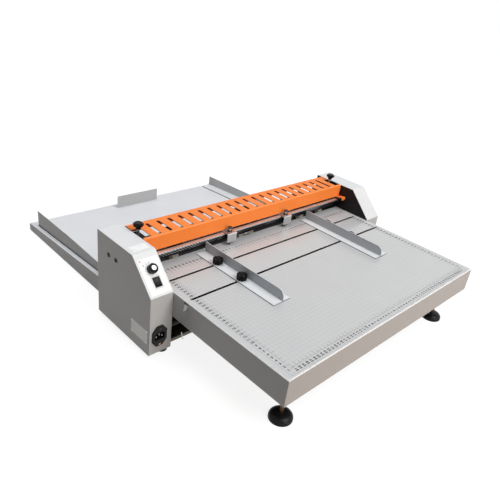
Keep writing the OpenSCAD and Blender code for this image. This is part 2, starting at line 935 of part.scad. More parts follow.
module upper_gear() {
    hole_ring = (upper_r + gear_hub_r) / 2;
    color("darkgray") machine() difference() {
        spur_gear(upper_teeth, upper_z, 270 + 180 / upper_teeth);
        along_x(gear_x - over, gear_x + gear_w + over) translate([nip_y, upper_z])
            for (i = [0 : gear_holes - 1]) rotate(360 * i / gear_holes)
                translate([hole_ring, 0]) circle(gear_hole_r);
    }
}

// Pressure frames, their bearing blocks and the springs that lift the upper pair
module bearing_block(low, high, z) {
    both_sides() along_x(frame_in + block_in, side_reach - block_in) difference() {
        translate([nip_y - window_half + seat, low]) square([2 * (window_half - seat), high - low]);
        translate([nip_y, z]) circle(shaft_r + run);
    }
}

module lower_bearings() {
    color("goldenrod") machine() bearing_block(window_floor, lower_z + block_reach, lower_z);
}

module upper_bearings() {
    color("goldenrod") machine() bearing_block(upper_z - block_reach, upper_z + block_foot, upper_z);
}

module lift_springs() {
    color("silver") machine() both_sides() translate([knob_x, nip_y, lower_z + block_reach]) difference() {
        cylinder(h = upper_z - lower_z - 2 * block_reach - seat, r = spring_r);
        translate([0, 0, -over]) cylinder(h = upper_z - lower_z + over, r = spring_r - spring_t);
    }
}

module pressure_frames() {
    low = window_floor - frame_foot;
    outline = [[nip_y - frame_half, low], [nip_y + frame_half, low], [nip_y + frame_half, frame_top],
        [nip_y - frame_half, frame_top]];
    color("dimgray") machine() both_sides() difference() {
        along_x(frame_in, side_reach) difference() {
            polygon(rounded(outline, frame_corner));
            translate([nip_y - window_half, window_floor])
                square([2 * window_half, frame_top - frame_bridge - window_floor]);
        }
        translate([knob_x, nip_y, frame_top - frame_bridge - over])
            cylinder(h = frame_bridge + 2 * over, r = screw_r + run);
    }
}

module pressure_screw() {
    low = upper_z + block_foot + seat;
    translate([knob_x, nip_y, low]) cylinder(h = knob_z + knob_hub_h - low, r = screw_r);
}

module pressure_knob() {
    translate([knob_x, nip_y, knob_z]) difference() {
        hand_knob(knob_r, knob_h, knob_lobes, knob_depth, knob_hub_h, knob_crown_h,
            knob_foot_share, neck_share);
        translate([0, 0, -over]) cylinder(h = over + knob_hub_h, r = screw_r + run);
    }
}

module left_pressure_screw() {
    color("silver") machine() mirror([1, 0, 0]) pressure_screw();
}

module right_pressure_screw() {
    color("silver") machine() pressure_screw();
}

module left_pressure_knob() {
    color("black") machine() mirror([1, 0, 0]) pressure_knob();
}

module right_pressure_knob() {
    color("black") machine() pressure_knob();
}

// Exit plate that leads the sheets down to the tray
module exit_plate() {
    exit_path = [[exit_start, exit_top], [exit_start + exit_flat, exit_top - exit_fall],
        [housing_rear - exit_end, tray_front_z + exit_over]];
    color("lightgray") machine() along_x(-side_reach, side_reach)
        polygon(folded(bent(exit_path, exit_bend), -sheet));
}

// Drive: gear motor, toothed pulleys and belt
module drive_motor() {
    face = side_reach - bracket_t;
    body = face - motor_gear_l;
    rear = body - motor_l;
    bore_end = motor_shaft_l + motor_shaft_gap - side_reach;
    color("dimgray") machine() difference() {
        mirror([1, 0, 0]) turned_x(motor_y, motor_z) polygon([[0, side_reach], [motor_boss_r, side_reach],
            [motor_boss_r, face], [motor_gear_r, face], [motor_gear_r, body], [motor_r, body],
            [motor_r, rear], [motor_cap_r, rear], [motor_cap_r, rear - motor_cap_l],
            [0, rear - motor_cap_l]]);
        disc_x(-side_reach - over, bore_end, motor_shaft_r + run, motor_y, motor_z);
    }
}

module motor_bracket() {
    top = table_z - apron_h - bracket_gap;
    color("silver") machine() difference() {
        union() {
            block([-side_reach, motor_y - bracket_half, machine_floor],
                [bracket_t - side_reach, motor_y + bracket_half, top]);
            block([-side_reach, motor_y - bracket_half, machine_floor],
                [bracket_foot - side_reach, motor_y + bracket_half, machine_floor + bracket_t]);
        }
        disc_x(-side_reach - over, -side_reach + bracket_t + over, motor_boss_r + run, motor_y, motor_z);
    }
}

module pulley(r, bore, y, z) {
    a = belt_x;
    b = belt_x + pulley_w;
    lip = r + pulley_lip;
    mirror([1, 0, 0]) turned_x(y, z) polygon([[bore, a], [lip, a], [lip, a + pulley_flange],
        [r, a + pulley_flange], [r, b - pulley_flange], [lip, b - pulley_flange], [lip, b], [bore, b]]);
}

module motor_pulley() {
    color("silver") machine() {
        pulley(small_pulley_r, 0, motor_y, motor_z);
        mirror([1, 0, 0])
            shaft(side_reach - motor_shaft_l, belt_x + pulley_w + shaft_end, motor_shaft_r, motor_y, motor_z);
    }
}

module shaft_pulley() {
    color("silver") machine() pulley(large_pulley_r, shaft_r + run, nip_y, lower_z);
}

// Open belt round two pulleys: two circles and the quadrilateral between their tangents
module belt_form(grow) {
    small = [motor_y, motor_z];
    large = [nip_y, lower_z];
    rs = small_pulley_r + grow;
    rl = large_pulley_r + grow;
    d = large - small;
    way = atan2(d[1], d[0]);
    lean = acos((rs - rl) / norm(d));
    translate(small) circle(rs);
    translate(large) circle(rl);
    polygon([small + polar(rs, way - lean), large + polar(rl, way - lean), large + polar(rl, way + lean),
        small + polar(rs, way + lean)]);
}

module drive_belt() {
    inner = run * 2;
    edge = pulley_flange + seat;
    color("black") machine() mirror([1, 0, 0]) along_x(belt_x + edge, belt_x + pulley_w - edge) difference() {
        belt_form(inner + belt_t);
        belt_form(inner);
    }
}

// Cover: folded sheet with slots, notches for the knobs, front ears and hinge cheeks
module cover() {
    half = cover_half;
    low = cover_top - flange_h;
    cover_path = [[cover_front, low], [cover_front, cover_top], [cover_rear, cover_top],
        [cover_rear, cover_top - rear_flange]];
    ear_path = [[cover_front + sheet, low + sheet], [ear_front, low + ear_rise],
        [ear_front, low + ear_rise - ear_drop]];
    slot_l = cover_rear - slot_rear - cover_front - slot_front;
    color("coral") machine() difference() {
        union() {
            along_x(-half, half) polygon(folded(bent(cover_path, cover_bend), -sheet));
            both_sides() along_x(half - ear_w, half) polygon(folded(ear_path, sheet));
            both_sides() along_x(half - sheet, half) polygon([
                [hinge_y - cheek_front, cover_top - rear_flange],
                [cover_rear - sheet, cover_top - rear_flange],
                [cover_rear - sheet, cover_top - sheet],
                [hinge_y - cheek_front, cover_top - sheet]]);
        }
        for (i = [0 : slot_count - 1]) translate([(i - (slot_count - 1) / 2) * slot_pitch,
            cover_front + slot_front + slot_l / 2, cover_top - sheet - over])
            linear_extrude(sheet + 2 * over) rotate(90) obround(slot_l, slot_w);
        both_sides() block([notch_in, notch_front, cover_top - 2 * sheet],
            [half + over, notch_rear, cover_top + over]);
        both_sides() disc_x(half - sheet - over, half + over, pin_r + run, hinge_y, hinge_z);
    }
}

module hinge_pins() {
    color("silver") machine() both_sides() disc_x(cover_half - pin_in, plate_out, pin_r, hinge_y, hinge_z);
}

// Speed knob on its shaft, the control behind the panel, and the rocker switch
module speed_knob() {
    color("black") machine() on_slope(dial_x, dial_s) {
        difference() {
            translate([0, 0, seat])
                hand_knob(dial_r, dial_h - seat, dial_flutes, dial_depth, dial_neck, dial_neck,
                    dial_neck_share, dial_neck_share);
            translate([0, 0, -over]) cylinder(h = over + dial_hollow_h, r = dial_hollow_r);
        }
        translate([0, 0, pot_shaft_gap - pot_h]) cylinder(h = pot_h + dial_hollow_h, r = pot_shaft_r);
    }
}

module knob_cap() {
    color("silver") machine() on_slope(dial_x, dial_s) translate([0, 0, dial_h])
        cylinder(h = cap_h, r1 = cap_r, r2 = cap_r - cap_h);
}

module speed_control() {
    color("dimgray") machine() on_slope(dial_x, dial_s) difference() {
        union() {
            translate([0, 0, -sheet - pot_h]) cylinder(h = pot_h, r = pot_r);
            translate([0, 0, -sheet]) cylinder(h = sheet + bushing_h, r = bushing_r);
            cylinder(h = panel_nut_h, r = panel_nut_r, $fn = 6);
        }
        translate([0, 0, -pot_h]) cylinder(h = pot_h + over, r = pot_shaft_r + run);
    }
}

module switch_frame() {
    well_w = switch_w - 2 * switch_rim;
    well_l = switch_l - 2 * switch_rim;
    color("black") machine() on_slope(rocker_x, rocker_s) difference() {
        union() {
            linear_extrude(switch_lip) square([switch_w, switch_l], center = true);
            translate([0, 0, -switch_depth]) linear_extrude(switch_depth + switch_lip)
                square([well_w + 2 * switch_wall, well_l + 2 * switch_wall], center = true);
        }
        translate([0, 0, -switch_well]) linear_extrude(switch_well + over)
            square([well_w, well_l], center = true);
        translate([0, 0, -rocker_axis]) rotate([0, 90, 0])
            cylinder(h = well_w + switch_wall + seat, r = rocker_pin_r + run, center = true);
    }
}

module rocker_button() {
    half = switch_l / 2 - 1.5 * switch_rim;
    wide = switch_w - 2 * switch_rim - 2 * seat;
    belly = half * rocker_belly_share;
    section = [[-half, -rocker_skirt], [-belly, -rocker_deep], [belly, -rocker_deep], [half, -rocker_skirt],
        [half, rocker_rise], [0, rocker_dip], [-half, rocker_rise]];
    color("black") machine() on_slope(rocker_x, rocker_s)
            translate([0, 0, -rocker_axis]) rotate([-rocker_tilt, 0, 0]) {
        rotate([90, 0, 90]) linear_extrude(wide, center = true)
            polygon([for (p = section) p + [0, rocker_axis]]);
        rotate([0, 90, 0]) cylinder(h = wide + 2 * seat + switch_wall, r = rocker_pin_r, center = true);
    }
}

// Power inlet: a flanged socket with three pins
module power_inlet() {
    ear = inlet_ear_w / 2;
    side = inlet_side_h / 2;
    w = inlet_w / 2;
    h = inlet_h / 2;
    front = -housing_front - inlet_lip;
    flange = [[-ear, -h], [ear, -h], [w, -side], [w, side], [ear, h], [-ear, h], [-w, side], [-w, -side]];
    sw = socket_w / 2;
    sh = socket_h / 2;
    socket = [[-sw, -sh], [sw, -sh], [sw, sh - socket_chamfer], [sw - socket_chamfer, sh],
        [socket_chamfer - sw, sh], [-sw, sh - socket_chamfer]];
    color("black") machine() translate([-inlet_x, 0, inlet_z]) {
        difference() {
            union() {
                along_y(front, -housing_front) polygon(flange);
                along_y(front, inlet_body_d - housing_front)
                    square([inlet_body_w, inlet_body_h], center = true);
            }
            along_y(front - over, front + socket_d) polygon(socket);
        }
        for (p = [[-pin_spread, -pin_drop / 2], [pin_spread, -pin_drop / 2], [0, pin_drop / 2]])
            along_y(front + socket_d - pin_proud, front + socket_d)
                translate(p) square([pin_w, pin_l], center = true);
    }
}

module control_board() {
    back = plate_out + board_gap;
    face = back + board_t;
    color("seagreen") machine() mirror([1, 0, 0]) {
        block([back, board_y, board_z], [face, board_y + board_l, board_z + board_h]);
        for (y = [standoff_in, board_l - standoff_in], z = [standoff_in, board_h - standoff_in])
            disc_x(plate_out, back, standoff_r, board_y + y, board_z + z);
        for (c = chips) block([face, board_y + c[0], board_z + c[1]],
            [face + chip_h, board_y + c[0] + c[2], board_z + c[1] + c[3]]);
        for (c = cans) disc_x(face, face + chip_h, can_r, board_y + c[0], board_z + c[1]);
    }
}

// Catch tray behind the machine, with its guides and stop
module catch_tray() {
    color("whitesmoke") machine() difference() {
        along_x(-tray_half, tray_half) polygon([[tray_front, 0], [tray_rear - tray_chamfer, 0],
            [tray_rear, tray_chamfer], [tray_rear, tray_rear_z], [tray_front, tray_front_z]]);
        along_x(sheet - tray_half, tray_half - sheet) polygon([[tray_front - over, -over],
            [tray_rear - sheet, -over], [tray_rear - sheet, tray_at(tray_rear - sheet) - sheet],
            [tray_front - over, tray_at(tray_front - over) - sheet]]);
    }
}

// Fence whose foot follows the tray, with a base strip; shares give its top edge
module tray_fence(x, rear, height, shares) {
    start = fence_start;
    long = rear - start;
    foot = tray_at(rear) + seat;
    top = [for (s = shares) let (y = start + s[0] * long) [y, tray_at(y) + seat + s[1] * height]];
    back = [for (i = [len(top) - 1 : -1 : 0]) top[i]];
    along_x(x, x + sheet) polygon(concat([[start, tray_at(start) + seat], [rear, foot]], back));
}

module tray_strip(a, b, y0, y1) {
    along_x(a, b) polygon([[y0, tray_at(y0) + seat], [y1, tray_at(y1) + seat],
        [y1, tray_at(y1) + seat + sheet], [y0, tray_at(y0) + seat + sheet]]);
}

module left_tray_guide() {
    color("lightgray") machine() {
        tray_fence(left_fence_x, left_fence_rear, left_fence_h, left_top_share);
        tray_strip(left_fence_x, left_fence_x + tray_base_w, fence_start, left_fence_rear);
    }
}

module right_tray_guide() {
    color("lightgray") machine() {
        tray_fence(right_fence_x - sheet, right_fence_rear, right_fence_h, right_top_share);
        tray_strip(right_fence_x - right_base_w, right_fence_x, fence_start,
            right_fence_rear - right_base_short);
    }
}

module tray_stop() {
    foot = tray_at(stop_y) + seat;
    color("lightgray") machine() {
        block([stop_left, stop_y, foot], [stop_right, stop_y + sheet, foot + stop_h]);
        tray_strip(stop_left, stop_right, stop_y, stop_y + stop_base);
    }
}

left_housing();
right_housing();
left_side_plate();
right_side_plate();
base_pan();
tie_bars();
housing_feet();
feed_table();
table_rail();
left_levelling_foot();
right_levelling_foot();
left_foot_stud();
right_foot_stud();
guide_bar();
left_clip();
left_clip_screw();
right_clip();
right_clip_screw();
left_guide();
left_front_knob();
left_rear_knob();
right_guide();
right_front_knob();
right_rear_knob();
lower_shaft();
lower_wheels();
creasing_ring();
lower_gear();
upper_shaft();
upper_wheels();
creasing_disc();
upper_gear();
lower_bearings();
upper_bearings();
lift_springs();
pressure_frames();
left_pressure_screw();
right_pressure_screw();
left_pressure_knob();
right_pressure_knob();
exit_plate();
drive_motor();
motor_bracket();
motor_pulley();
shaft_pulley();
drive_belt();
cover();
hinge_pins();
speed_knob();
knob_cap();
speed_control();
switch_frame();
rocker_button();
power_inlet();
control_board();
catch_tray();
left_tray_guide();
right_tray_guide();
tray_stop();
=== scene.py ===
"""Dress the paper creasing machine in its finishes and stand it in a plain white studio."""

import logging
import math
from dataclasses import dataclass, field
from enum import Enum
from functools import cached_property, reduce
from typing import Callable, Sequence, Union

import bmesh
import bpy
from mathutils import Matrix, Vector


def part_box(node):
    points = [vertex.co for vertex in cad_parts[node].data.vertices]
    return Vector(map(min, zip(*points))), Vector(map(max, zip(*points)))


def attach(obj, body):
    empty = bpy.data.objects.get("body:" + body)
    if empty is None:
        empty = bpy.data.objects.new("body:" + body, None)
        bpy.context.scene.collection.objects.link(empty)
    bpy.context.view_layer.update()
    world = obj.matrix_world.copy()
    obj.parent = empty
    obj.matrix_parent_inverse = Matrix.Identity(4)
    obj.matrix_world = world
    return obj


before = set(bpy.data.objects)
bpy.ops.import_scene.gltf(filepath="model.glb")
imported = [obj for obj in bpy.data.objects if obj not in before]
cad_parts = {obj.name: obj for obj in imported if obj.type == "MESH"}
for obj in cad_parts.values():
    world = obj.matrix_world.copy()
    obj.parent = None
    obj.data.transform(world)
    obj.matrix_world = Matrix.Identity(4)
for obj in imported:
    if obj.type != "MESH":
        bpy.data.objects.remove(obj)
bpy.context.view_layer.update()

Three = tuple[float, float, float]
Place = Three
Colour = Three
Area = tuple[float, float, float, float]
Flat = tuple[float, float]
Out = bpy.types.NodeSocket
Socket = Union[Out, float, Colour]

LOG = logging.getLogger("creasing_machine")
MID_Y = 107.0
SLOPE_ANGLE = math.atan2(68.0, 69.0)
HOUSING_TOP = 218.0
TABLE_TOP = 149.0
GAP = 0.02
INK_RISE = 0.05
RIGHT: Place = (1.0, 0.0, 0.0)
REARWARD: Place = (0.0, 1.0, 0.0)
UP: Place = (0.0, 0.0, 1.0)
MIDDLE: Flat = (0.3, 0.7)
SIDES = (("left", -1.0), ("right", 1.0))


def stand(name: str, data: bpy.types.ID) -> bpy.types.Object:
    """Puts a new object with its data into the scene.

    Args:
        name: Its name.
        data: Its mesh, letters, lamp or camera.

    Returns:
        The object.
    """
    made = bpy.data.objects.new(name, data)
    bpy.context.scene.collection.objects.link(made)
    return made


def to_frame(x: float, y: float, z: float) -> Vector:
    """Turns a point in the machine's millimetres into frame metres."""
    return Vector((x, y - MID_Y, z)) / 1000.0


class Lay(Enum):
    """The direction in which a rolled, drawn or brushed metal's grain runs."""

    ALONG_X = (0.04, 1.0, 1.0)
    ALONG_Z = (1.0, 1.0, 0.04)
    ROUND_X = (1.0, 0.25, 0.25)


class Drive(Enum):
    """The recess in a screw's head."""

    HEX = "hex"
    CROSS = "cross"


class Nodes:
    """A tree of shader nodes, built from plain operations."""

    def __init__(self, tree: bpy.types.NodeTree) -> None:
        """Takes over a tree."""
        self.tree = tree

    def feed(self, socket: Out, value: Socket) -> None:
        """Links a socket to another, or writes a plain value on it.

        Args:
            socket: The socket that takes it in.
            value: The other socket, the number or the colour.
        """
        if isinstance(value, Out):
            self.tree.links.new(value, socket)
        elif isinstance(value, tuple) and len(value) == 3 and socket.type == "RGBA":
            socket.default_value = (*value, 1.0)
        else:
            socket.default_value = value

    def node(self, kind: str, inputs: dict, **settings: object) -> bpy.types.Node:
        """Adds a node.

        Args:
            kind: The node's type without its common prefix.
            inputs: The values or sockets that go into it, by name or number.
            settings: The node's own options.

        Returns:
            The new node.
        """
        made = self.tree.nodes.new("ShaderNode" + kind)
        for name, value in settings.items():
            setattr(made, name, value)
        for name, value in inputs.items():
            self.feed(made.inputs[name], value)
        return made

    def calc(self, operation: str, a: Socket, b: Socket = 0.0) -> Out:
        """Returns a sum, product or other plain operation on two values."""
        return self.node("Math", {0: a, 1: b}, operation=operation).outputs["Value"]

    def times(self, *values: Socket) -> Socket:
        """Returns the product of several values."""
        return reduce(lambda a, b: self.calc("MULTIPLY", a, b), values)

    def most(self, *values: Socket) -> Socket:
        """Returns the greatest of several values."""
        return reduce(lambda a, b: self.calc("MAXIMUM", a, b), values)

    def spread(self, value: Socket, low: float, high: float, to_low: float = 0.0, to_high: float = 1.0) -> Out:
        """Returns a value moved from one range to another and held inside it."""
        inputs = {"Value": value, "From Min": low, "From Max": high, "To Min": to_low, "To Max": to_high}
        return self.node("MapRange", inputs, clamp=True).outputs["Result"]

    def seen(self) -> Socket:
        """Returns one for what the camera sees directly, by mirror or through glass."""
        path = self.node("LightPath", {}).outputs
        return self.most(*(path[f"Is {kind} Ray"] for kind in ("Camera", "Glossy", "Transmission")))


class Graph(Nodes):
    """The shader nodes of one finish, built from the shader's own sockets outwards."""

    def __init__(self, name: str) -> None:
        """Starts a material with its main shader and the piece's own coordinates.

        Args:
            name: The finish's name.
        """
        self.material = bpy.data.materials.new(name)
        self.material.use_nodes = True
        super().__init__(self.material.node_tree)
        self.shader = self.tree.nodes["Principled BSDF"]
        coordinates = self.node("TexCoord", {}).outputs
        self.place = coordinates["Object"]
        self.facing = coordinates["Normal"]

    def put(self, name: str, value: Socket) -> None:
        """Feeds an input of the main shader."""
        self.feed(self.shader.inputs[name], value)

    def worn(self) -> Out:
        """Returns the colour that the main shader has so far."""
        return self.shader.inputs["Base Color"].links[0].from_socket

    def mapped(self, change: str, shares: Place) -> Out:
        """Returns the piece's coordinates with a change to each axis, such as its scale."""
        return self.node("Mapping", {"Vector": self.place, change: shares}).outputs["Vector"]

    def noise(self, size: float, detail: float = 3.0, place: Socket | None = None) -> Out:
        """Returns a cloudy pattern around one half, with blotches of a size and finer layers over them."""
        inputs = {"Vector": place or self.place, "Scale": 1.0 / size, "Detail": detail, "Roughness": 0.6}
        return self.node("TexNoise", inputs).outputs["Fac"]

    def blend(self, share: Socket, a: Socket, b: Socket) -> Out:
        """Returns one colour going over to another as the share goes from none to all."""
        return self.node("Mix", {0: share, 6: a, 7: b}, data_type="RGBA").outputs[2]

    def axis(self, name: str, place: Socket | None = None) -> Out:
        """Returns one coordinate, X, Y or Z."""
        return self.node("SeparateXYZ", {0: place or self.place}).outputs[name]

    def lean(self, normal: Socket) -> Out:
        """Returns how far a normal leans up or down, from none to all."""
        return self.calc("ABSOLUTE", self.axis("Z", normal))

    def past(self, value: Socket, limit: float, soft: float) -> Out:
        """Returns one above a limit and none below it, with a soft step."""
        return self.spread(value, limit - soft, limit + soft)

    def band(self, value: Socket, low: float, high: float, soft: float) -> Socket:
        """Returns one between two values and none outside, with soft ends."""
        return self.times(self.past(value, low, soft), self.spread(value, high - soft, high + soft, 1.0, 0.0))

    def rounded(self, radius: float, samples: int) -> Out:
        """Returns the normal over edges that seem to have a radius."""
        return self.node("Bevel", {"Radius": radius}, samples=samples).outputs["Normal"]

    def relief(self, height: Socket, depth: float, edge: float = 0.0) -> None:
        """Raises the surface by a pattern, over edges that are rounded by eye.

        Args:
            height: The pattern.
            depth: How far its highest point stands up, in metres.
            edge: The radius that sharp edges seem to have, in metres.
        """
        inputs: dict = {"Height": height, "Distance": depth, "Strength": 1.0}
        if edge > 0.0:
            inputs["Normal"] = self.rounded(edge, 4)
        self.put("Normal", self.node("Bump", inputs).outputs["Normal"])


@dataclass(frozen=True)
class Finish:
    """A finish that any piece can wear: its name, its colour and how matt it is."""

    name: str
    colour: Colour
    rough: float

    @cached_property
    def graph(self) -> Graph:
        """Returns the finish's nodes, started when they are first asked for."""
        return Graph(self.name)

    @cached_property
    def material(self) -> bpy.types.Material:
        """Paints the finish's nodes when it is first worn, and returns their material."""
        self.paint()
        return self.graph.material

    def shades(self, share: Socket, reach: float) -> Out:
        """Returns the colour going a little darker and lighter with a pattern."""
        ends = (tuple(min(1.0, part * (1.0 + change)) for part in self.colour) for change in (-reach, reach))
        return self.graph.blend(share, *ends)

    def dull(self, pattern: Socket, low: float, high: float) -> None:
        """Moves the roughness between two values with a pattern."""
        self.graph.put("Roughness", self.graph.spread(pattern, *MIDDLE, low, high))

    def paint(self) -> None:
        """Sets up the shader with a faint mottle; each finish adds its own."""
        graph = self.graph
        graph.put("Base Color", self.shades(graph.noise(0.05), 0.03))
        graph.put("Roughness", self.rough)


@dataclass(frozen=True)
class PowderCoat(Finish):
    """Powder paint on folded sheet: fine orange peel, a soft mottle and rounded edges."""

    peel: float = 0.0012
    depth: float = 0.00003
    edge: float = 0.0008
    shine: float = 0.4
    # Painted shade: upright faces keep this share of the colour, and the tint below colours them, for the shade
    # and bounced light they get.
    upright: float = 1.0
    warmth: Colour = (1.0, 0.975, 0.945)
    # Painted highlight: a lighter colour laid along rounded folds, where lamps would shine on the bend.
    crest: Colour | None = None
    crest_share: float = 0.85
    crest_lean: Flat = (0.36, 0.87)
    fold: float = 0.002
    cloud: float = 0.12

    def ground(self) -> Out:
        """Makes the paint's colour before anything is printed on it, with painted shade that darkens and tints
        upright faces.

        Returns:
            The colour.
        """
        graph = self.graph
        paint = self.shades(graph.spread(graph.noise(self.cloud, 2.0), *MIDDLE), 0.02)
        if self.upright == 1.0:
            return paint
        # Painted shade: upright faces go over to a darker, tinted copy of the colour.
        shaded_side = tuple(part * self.upright * tint for part, tint in zip(self.colour, self.warmth))
        return graph.blend(graph.spread(graph.lean(graph.facing), 0.15, 0.6, 1.0, 0.0), paint, shaded_side)

    def paint(self) -> None:
        """Sets up the paint, with a painted highlight along its folds where it has one."""
        graph = self.graph
        paint = self.ground()
        if self.crest is not None:
            # Painted highlight: faces that lean part way between upright and flat get the lighter fold colour.
            fold = graph.band(graph.lean(graph.rounded(self.fold, 8)), *self.crest_lean, 0.06)
            paint = graph.blend(graph.times(fold, self.crest_share), paint, self.crest)
        graph.put("Base Color", paint)
        self.dull(graph.noise(0.02), self.rough - 0.05, self.rough + 0.05)
        graph.put("Specular IOR Level", self.shine)
        graph.relief(graph.noise(self.peel, 2.0), self.depth, self.edge)


@dataclass(frozen=True)
class HoodCoat(PowderCoat):
    """Powder paint on a folded hood, with painted shade: darker and redder on the faces that look into it."""

    # Painted shade: the darker red given to faces that look into the hood or down, for the shade inside it.
    inside: Colour = (0.6, 0.075, 0.03)
    middle: float = -0.0205

    def ground(self) -> Out:
        """Makes the paint, with painted shade on the faces that look down or at the hood's middle.

        Returns:
            The colour.
        """
        graph = self.graph
        side = graph.calc("SIGN", graph.calc("SUBTRACT", self.middle, graph.axis("Y")))
        inward = graph.times(side, graph.axis("Y", graph.facing))
        down = graph.times(graph.axis("Z", graph.facing), -1.0)
        # Painted shade: inward and downward faces go over to the darker red.
        return graph.blend(graph.spread(graph.most(inward, down), 0.5, 0.7), super().ground(), self.inside)


@dataclass(frozen=True)
class SquaredCoat(PowderCoat):
    """Powder paint printed with faint squares, with a plain strip round the edge and a lacquered top."""

    pitch: float = 0.01
    line: float = 0.0004
    ink: Colour = (0.36, 0.375, 0.39)
    ink_share: float = 0.9
    half_width: float = 0.3425
    front: float = -0.497
    rear: float = -0.061
    top: float = 0.149
    margin: float = 0.014
    fade: float = 0.0003
    # Painted shade: the darker, warmer colour of the front apron, for the warm light bounced onto it.
    blush: Colour = (0.42, 0.378, 0.346)
    lacquer: Flat = (0.6, 0.16)

    def rule(self, place: Socket) -> Out:
        """Makes the lines across one axis.

        Args:
            place: The coordinate along the axis.

        Returns:
            One on the lines and none between them.
        """
        graph = self.graph
        turn = graph.calc("DIVIDE", place, self.pitch)
        part = graph.calc("ABSOLUTE", graph.calc("SUBTRACT", graph.calc("FRACT", turn), 0.5))
        return graph.past(part, 0.5 - self.line / self.pitch / 2.0, 0.012)

    def ground(self) -> Out:
        """Makes the paint, with painted warm shade on the front apron, and its printed squares.

        Returns:
            The colour.
        """
        graph = self.graph
        # Painted shade: faces that look to the front go over to the warmer front colour.
        forward = graph.spread(graph.axis("Y", graph.facing), -0.8, -0.5, 1.0, 0.0)
        paint = graph.blend(forward, super().ground(), self.blush)
        x, y, z = (graph.axis(name) for name in "XYZ")
        lines = graph.most(self.rule(x), self.rule(graph.calc("ADD", y, self.pitch * 0.7)))
        inner = self.half_width - self.margin
        printed = graph.times(graph.band(x, -inner, inner, self.fade),
                              graph.band(y, self.front + 0.006, self.rear, self.fade),
                              graph.spread(z, self.top - 0.001, self.top - 0.0004))
        graph.put("Coat Weight", graph.spread(z, self.top - 0.002, self.top, 0.0, self.lacquer[0]))
        graph.put("Coat Roughness", self.lacquer[1])
        paint = graph.blend(printed, paint, self.shades(graph.noise(0.09), 0.05))
        return graph.blend(graph.times(lines, printed, self.ink_share), paint, self.ink)


@dataclass(frozen=True)
class GroundSteel(Finish):
    """Ground or drawn metal: fine streaks along its lay that vary its gloss and shade."""

    lay: Lay = Lay.ALONG_X
    streak: float = 0.0006
    depth: float = 0.000012
    edge: float = 0.0004
    stain: float = 0.06
    stain_size: float = 0.03

    def paint(self) -> None:
        """Sets up the metal."""
        graph = self.graph
        streaks = graph.noise(self.streak, 4.0, graph.mapped("Scale", self.lay.value))
        share = graph.calc("ADD", graph.times(streaks, 0.6), graph.times(graph.noise(self.stain_size), 0.4))
        graph.put("Base Color", self.shades(share, self.stain))
        graph.put("Metallic", 1.0)
        self.dull(share, self.rough * 0.75, self.rough * 1.3)
        graph.relief(streaks, self.depth, self.edge)


@dataclass(frozen=True)
class Moulding(Finish):
    """Moulded plastic: a fine spark-eroded texture and slightly rubbed high spots."""

    grain: float = 0.0005
    depth: float = 0.00002
    edge: float = 0.0005
    shine: float = 0.25

    def paint(self) -> None:
        """Sets up the plastic."""
        graph = self.graph
        graph.put("Specular IOR Level", self.shine)
        graph.put("Base Color", self.shades(graph.noise(0.01), 0.15))
        self.dull(graph.noise(0.006), self.rough - 0.07, self.rough + 0.07)
        graph.relief(graph.noise(self.grain, 2.0), self.depth, self.edge)


@dataclass(frozen=True)
class Rubber(Finish):
    """Soft rubber: a dusty matt skin with round ground marks."""

    grain: float = 0.0008
    depth: float = 0.00006
    dust: Colour = (0.5, 0.5, 0.48)
    dust_share: float = 0.12
    edge: float = 0.0006

    def paint(self) -> None:
        """Sets up the rubber."""
        graph = self.graph
        skin = graph.noise(self.grain, 4.0)
        dusty = graph.spread(graph.noise(0.012, 4.0), 0.45, 0.75, 0.0, self.dust_share)
        graph.put("Base Color", graph.blend(dusty, self.colour, self.dust))
        self.dull(skin, self.rough - 0.08, self.rough)
        graph.put("Sheen Weight", 0.15)
        graph.relief(skin, self.depth, self.edge)


@dataclass(frozen=True)
class CircuitLacquer(Finish):
    """Green board lacquer with copper tracks that show through it."""

    track: Colour = (0.1, 0.4, 0.2)
    tracks: float = 160.0
    depth: float = 0.00003

    def paint(self) -> None:
        """Sets up the lacquer."""
        graph = self.graph
        upright = graph.mapped("Rotation", (0.0, math.pi / 2.0, 0.0))
        inputs = {"Vector": upright, "Scale": self.tracks, "Mortar Size": 0.05}
        pattern = graph.node("TexBrick", inputs).outputs["Fac"]
        graph.put("Base Color", graph.blend(pattern, self.colour, self.track))
        graph.put("Roughness", self.rough)
        graph.put("Coat Weight", 0.4)
        graph.relief(pattern, self.depth)


